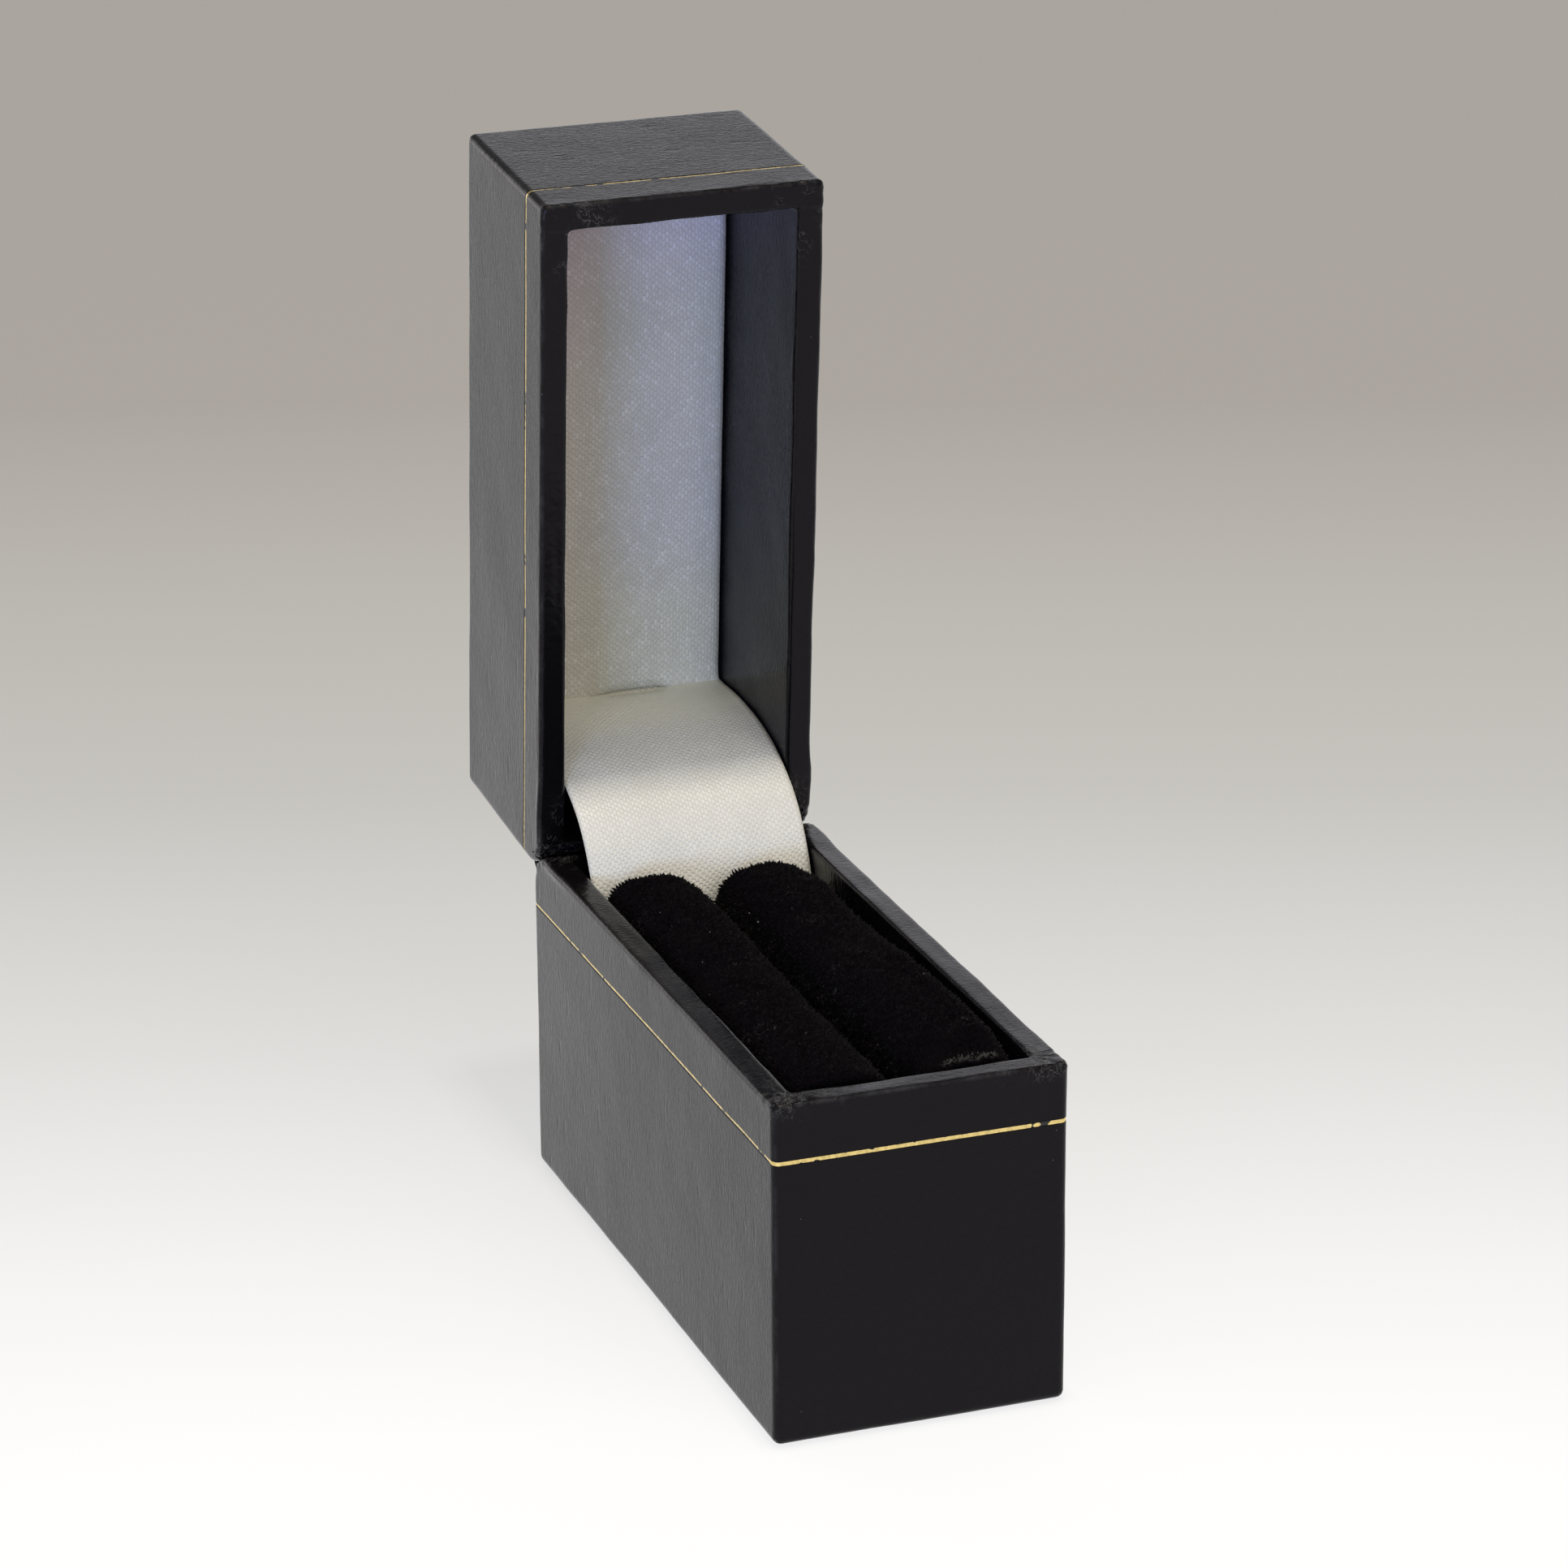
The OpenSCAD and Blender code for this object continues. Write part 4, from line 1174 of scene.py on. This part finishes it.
class RINGBOX_OT_lining(Step, bpy.types.Operator):
    """Lines the lid with satin over wadding"""

    bl_idname = "ring_box.lining"
    bl_label = "Satin Lining"

    def lay_satin(self, satin):
        low, high = shut_box("satin_lining")
        piece, u, v = unit_grid("lining_satin", 70, 170)
        drop = high.z - low.z - 0.1 * MM
        x, depth_x, wide = wrapped(u, low.x - 0.05 * MM, high.x + 0.05 * MM, satin.lining_edge, drop)
        y, depth_y, long = wrapped(v, low.y, high.y + 0.3 * MM, satin.lining_edge, drop)
        points = np.stack([x, y, low.z + np.maximum(depth_x, depth_y)], 1)
        near = np.minimum(np.minimum(x - low.x, high.x - x), np.minimum(y - low.y, high.y - y))
        points[:, 2] -= 0.36 * MM * ease(near, -0.2 * MM, 0.9 * MM)
        points[:, 2] += 0.07 * MM * bumps(points, 9, 51) + 0.035 * MM * bumps(points, 3, 52)
        # its end swells into the strap, but for the slit
        end, shut = ease(y, high.y - 1.6 * MM, high.y + 0.3 * MM), 1 - crease_slit(x)
        points[:, 1] += 0.45 * MM * end * shut
        points[:, 2] -= 0.4 * MM * end**2 * shut
        set_points(piece, points)
        scale_uv(piece, wide, long)
        # the face that shows looks down from the lid's ceiling
        with all_selected(piece):
            bpy.ops.mesh.flip_normals()
        thicken(piece, satin.satin)
        smooth(piece)
        move_in_mesh(piece, OPENED)
        dress(piece, "lid", "satin", "satin_lining", "lining")

    def lay_wadding(self):
        low, high = shut_box("lining_wadding")
        size, middle = high - low, (high + low) / 2
        scale = (size.x, size.y, size.z * 0.9)
        piece = primitive(bpy.ops.mesh.primitive_cube_add, "wadding", size=1, location=middle, scale=scale)
        apply_modifier(piece, "BEVEL", width=0.2 * MM, segments=3)
        slice_mesh(piece, 0, np.linspace(low.x, high.x, 22)[1:-1])
        slice_mesh(piece, 1, np.linspace(low.y, high.y, 50)[1:-1])
        points = points_of(piece)
        set_points(piece, points + normals_of(piece) * (0.04 * MM * bumps(points, 2.5, 61))[:, None])
        smooth(piece, 60)
        move_in_mesh(piece, OPENED)
        dress(piece, "lid", "wadding", "lining_wadding")

    def execute(self, context):
        self.lay_satin(chosen("satin"))
        self.lay_wadding()
        return {"FINISHED"}


class RINGBOX_OT_strap(Step, bpy.types.Operator):
    """Hangs the satin strap from the lining over the hinge to the ring pad"""

    bl_idname = "ring_box.strap"
    bl_label = "Satin Strap"

    def path(self, satin):
        """The strap's middle line in Y and Z: behind the card, round its end, a free loop, down to the tray."""
        tray_low, tray_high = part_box("pad_tray")
        lining_z = shut_box("satin_lining")[0].z
        start_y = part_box("base_cover")[1].y - satin.crease_at + 0.2 * MM
        pasted_z = shut_box("lining_card")[1].z + 0.12 * MM
        top = opened(start_y, lining_z - 0.33 * MM)
        foot = np.array([tray_high.y + 0.12 * MM, tray_high.z])
        span, rise = np.linalg.norm(foot - top), math.radians(4.2)
        tail = [opened(start_y - satin.strap_tail, pasted_z), opened(start_y - 0.5 * MM, pasted_z)]
        corner = [opened(start_y, pasted_z - 0.5 * MM)]
        leaving = top + 0.576 * span * np.array([-math.cos(rise), math.sin(rise)])
        loop = bezier(top, leaving, foot + np.array([-0.3 * MM, 0.4 * span]), foot, 60)
        return np.array(tail + corner + loop + [np.array([foot[0], tray_low.z + 0.1 * MM])])

    def execute(self, context):
        satin = chosen("satin")
        path = self.path(satin)
        long = float(path_runs(path)[-1])
        piece, u, v = unit_grid("strap", 48, 220)
        x = (u - 0.5) * satin.strap_width
        edge = np.abs(2 * u - 1)
        # its left edge is drawn in a little near its foot
        x *= 1 - (x < 0) * (0.015 + 0.06 * ease(v, 0.74, 0.86)) * edge
        # between its ends it is free, and cups and ripples a little
        free = band(v, 0.28, 0.4, 0.78, 0.95)
        flat = np.stack([x, v * long, np.zeros(len(x))], 1)
        lift = free * (0.12 * MM * bumps(flat, 9, 71) + 0.05 * MM * bumps(flat, 3, 72))
        lift -= free * 0.12 * MM * (edge**3 - 1)
        # it lies close to the lining at its start, but for a slit right of the middle
        lift += bell((v - 0.19) * long, 1.1 * MM) * (0.14 - 0.44 * crease_slit(x)) * MM
        wobble = free * 0.12 * MM * np.sign(x) * bumps(flat, 7, 73) * edge
        set_points(piece, beside(path, v, 0.004, x + wobble, lift))
        scale_uv(piece, satin.strap_width, long)
        thicken(piece, satin.satin, 0)
        smooth(piece)
        dress(piece, None, "satin", "satin_strap", "strap")
        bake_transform(piece)
        return {"FINISHED"}


class RINGBOX_OT_hinge_strip(Step, bpy.types.Operator):
    """Lays the leatherette strip across the hinge outside, with its slack tucked between the rims"""

    bl_idname = "ring_box.hinge_strip"
    bl_label = "Hinge Strip"

    def path(self, satin):
        """The strip's middle line in Y and Z, whose lid half mirrors its base half, and the way it tucks in."""
        base_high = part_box("base_cover")[1]
        rim_foot = base_high.z - chosen("sizes").roll_over
        free = np.array([base_high.y + 0.12 * MM, rim_foot - satin.strip_loose])
        pin = np.array([PIN.y, PIN.z])
        way = opened(PIN.y + MM, PIN.z) - pin + [MM, 0]
        way /= np.linalg.norm(way)
        fold = pin + satin.strip_tuck * way - 0.17 * MM * np.array([-way[1], way[0]])
        bulge = np.array([base_high.y + 3 * satin.strip_bulge, rim_foot - 0.8 * satin.strip_bulge])
        half = [np.array([free[0], rim_foot - satin.strip_hold])]
        half += bezier(free, free + [0, satin.strip_loose], bulge, fold, 24)
        other = [opened(y, 2 * PIN.z - z) for y, z in half[::-1]]
        return np.array(half + other), way

    def execute(self, context):
        satin = chosen("satin")
        path, way = self.path(satin)
        long = float(path_runs(path)[-1])
        piece, u, v = unit_grid("hinge_strip_covering", 60, 110)
        flat = np.stack([(u - 0.5) * satin.strip_width, v * long, np.zeros(len(u))], 1)
        loose = band(v, 0.25, 0.4, 0.6, 0.75) * (1 - bell(v - 0.5, 0.03))
        lift = loose * 0.06 * MM * bumps(flat, 4, 81)
        x = flat[:, 0] + 0.08 * MM * bumps(flat, 3, 82)
        set_points(piece, beside(path, v, 0.008, x, lift))
        from_edge = np.minimum(np.minimum(u, 1 - u) * satin.strip_width, np.minimum(v, 1 - v) * long)
        set_attribute(piece, "edge", 0.9 * np.exp(-from_edge / (0.4 * MM)))
        thicken(piece, 0.19 * MM, 0)
        smooth(piece)
        dress(piece, None, "leatherette", "hinge_strip")
        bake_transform(piece)
        return {"FINISHED"}


# ---- finishes of the modelled parts that stay -----------------------------------------------------------


class RINGBOX_OT_inner_finishes(Step, bpy.types.Operator):
    """Finishes the boards, the cards, the underside panel and the hinge's metal"""

    bl_idname = "ring_box.inner_finishes"
    bl_label = "Inner Finishes"

    def execute(self, context):
        for part in frame["record"]["subparts"]:
            node = frame["nodes"][part["node"]]
            if not node.hide_render:
                node.data.materials.clear()
                node.data.materials.append(finish(part["material_slot"]))
        return {"FINISHED"}


# ---- stage ----------------------------------------------------------------------------------------------


class RINGBOX_OT_stage(Step, bpy.types.Operator):
    """Sets the floor, the soft studio lights and the camera"""

    bl_idname = "ring_box.stage"
    bl_label = "Stage"

    # directions on the floor: away from the camera, and across its view
    AHEAD, ACROSS = (0.3434, 0.9392, 0), (0.9392, -0.3434, 0)
    SURROUNDINGS = (0.6, 0.59, 0.575)
    # the floor's shades are spread over this many metres
    FLOOR_REACH = 2.0
    LAMPS_AIM = (0, 0.01, 0.05)
    # each lamp's place, side in metres, watts and colour
    LAMPS = {
        "key": ((0.0, -0.036, 0.95), 0.055, 3.3, (1, 0.92, 0.75)),
        "front_left": ((-0.45, -0.67, 0.1), 0.16, 2.4, (0.42, 0.58, 1.0)),
        "fill": ((0.05, -0.5, 0.8), 0.6, 1.7, (1, 0.95, 0.86)),
        "front_low": ((0.12, -0.88, 0.34), 0.4, 1.2, (1, 0.96, 0.9)),
        "back_right": ((0.4, 0.8, 0.3), 0.5, 0.66, (0.93, 0.94, 1)),
        "back_left": ((-0.42, 0.7, 0.12), 0.4, 1.0, (1, 0.96, 0.95)),
    }
    LENS_MM, SENSOR_MM = 133.958, 36
    CAMERA_PLACE = (
        (0.938496, 0.123648, -0.322391, -0.185986),
        (-0.345246, 0.321234, -0.881824, -0.507665),
        (-0.005473, 0.938893, 0.344165, 0.251528),
        (0, 0, 0, 1),
    )

    def floor_finish(self, colours):
        """A pale floor that shades from white round the box to grey behind it, and keeps the box's shadow."""
        made = Finish("studio_floor")
        made.tree.nodes.remove(made.shader)
        ahead, across = (
            made.node("VectorMath", {0: made.place, 1: way}, operation="DOT_PRODUCT")["Value"]
            for way in (self.AHEAD, self.ACROSS)
        )
        ahead, across = (made.maths("POWER", run, 2.0) for run in (ahead + 0.065, 0.35 * across))
        shades = made.node("ValToRGB", {0: made.maths("SQRT", ahead + across) * (1 / self.FLOOR_REACH)})
        first, *middle, last = (
            (0.030, colours.floor_near),
            (0.071, (0.91, 0.907, 0.905)),
            (0.124, (0.755, 0.748, 0.74)),
            (0.210, colours.floor_mid),
            (0.383, colours.floor_far),
            (0.700, colours.floor_far),
            (1.900, self.SURROUNDINGS),
        )
        stops = shades.socket.node.color_ramp.elements
        for stop, (metres, shade) in zip(stops, (first, last)):
            stop.position, stop.color = metres / self.FLOOR_REACH, (*shade, 1)
        for metres, shade in middle:
            stops.new(metres / self.FLOOR_REACH).color = (*shade, 1)
        # the sweep is white where the box mirrors it
        mirrored = made.mirrored()
        seen = made.maths("MAXIMUM", made.node("LightPath")["Is Camera Ray"], mirrored)
        glow = made.node("Emission", {"Color": made.mix(mirrored, shades, (1, 1, 1)), "Strength": 1.0})
        matt = made.node("BsdfDiffuse", {"Color": shades})
        lit = made.node("MixShader", {0: 0.2 * mirrored + 0.8, 1: matt, 2: glow})
        both = made.node("MixShader", {0: seen, 1: matt, 2: lit})
        made.put(made.tree.nodes["Material Output"].inputs["Surface"], both)
        return made.material

    def set_world(self, scene):
        """A plain grey room, which the box mirrors as white."""
        scene.world = bpy.data.worlds.new("studio")
        scene.world.use_nodes = True
        made = Graph(scene.world.node_tree)
        plain = made.tree.nodes["Background"]
        plain.inputs["Color"].default_value = (*self.SURROUNDINGS, 1)
        plain.inputs["Strength"].default_value = 0.75
        white = made.node("Background", {"Color": (1, 1, 1, 1), "Strength": 0.3})
        both = made.node("MixShader", {0: made.mirrored(), 1: Value(made, plain.outputs[0]), 2: white})
        made.put(made.tree.nodes["World Output"].inputs["Surface"], both)

    def add_lamp(self, scene, name, place, side, watts, shade):
        data = bpy.data.lights.new(name, "AREA")
        data.shape, data.size, data.energy, data.color = "SQUARE", side, watts, shade
        lamp = bpy.data.objects.new(name, data)
        scene.collection.objects.link(lamp)
        lamp.location = place
        lamp.rotation_mode = "QUATERNION"
        lamp.rotation_quaternion = (Vector(self.LAMPS_AIM) - Vector(place)).to_track_quat("-Z", "Y")

    def add_camera(self, scene):
        data = bpy.data.cameras.new("photograph")
        data.lens, data.sensor_width = self.LENS_MM, self.SENSOR_MM
        data.clip_start, data.clip_end = 0.01, 20
        scene.camera = bpy.data.objects.new("photograph", data)
        scene.collection.objects.link(scene.camera)
        scene.camera.matrix_world = Matrix(self.CAMERA_PLACE)

    def execute(self, context):
        scene = context.scene
        floor = primitive(
            bpy.ops.mesh.primitive_circle_add, "studio_floor", vertices=96, radius=3, fill_type="NGON"
        )
        floor.data.materials.append(self.floor_finish(chosen("colours")))
        self.set_world(scene)
        for name, lamp in self.LAMPS.items():
            self.add_lamp(scene, name, *lamp)
        self.add_camera(scene)
        scene.view_settings.view_transform = "Standard"
        return {"FINISHED"}


OPERATORS = (
    RINGBOX_OT_stage,
    RINGBOX_OT_base_covering,
    RINGBOX_OT_lid_covering,
    RINGBOX_OT_ring_rolls,
    RINGBOX_OT_lining,
    RINGBOX_OT_strap,
    RINGBOX_OT_hinge_strip,
    RINGBOX_OT_inner_finishes,
)


class RINGBOX_PT_panel(bpy.types.Panel):
    """Lists the pieces of the ring box with their sizes and colours"""

    bl_idname = "RINGBOX_PT_panel"
    bl_label = "Ring Display Box"
    bl_space_type = "VIEW_3D"
    bl_region_type = "UI"
    bl_category = "Ring Box"

    def draw(self, context):
        for kind in OPERATORS:
            self.layout.operator(kind.bl_idname)
        for group in SETTINGS:
            settings = getattr(context.scene, group)
            box = self.layout.box()
            for name in settings.__annotations__:
                box.prop(settings, name)


CLASSES = (*SETTINGS.values(), *OPERATORS, RINGBOX_PT_panel)


def register():
    for kind in CLASSES:
        bpy.utils.register_class(kind)
    for name, kind in SETTINGS.items():
        setattr(bpy.types.Scene, name, PointerProperty(type=kind))


def unregister():
    for name in SETTINGS:
        delattr(bpy.types.Scene, name)
    for kind in reversed(CLASSES):
        bpy.utils.unregister_class(kind)


def main():
    register()
    for kind in OPERATORS:
        getattr(bpy.ops.ring_box, kind.bl_idname.split(".")[1])()


if __name__ == "__main__":
    main()
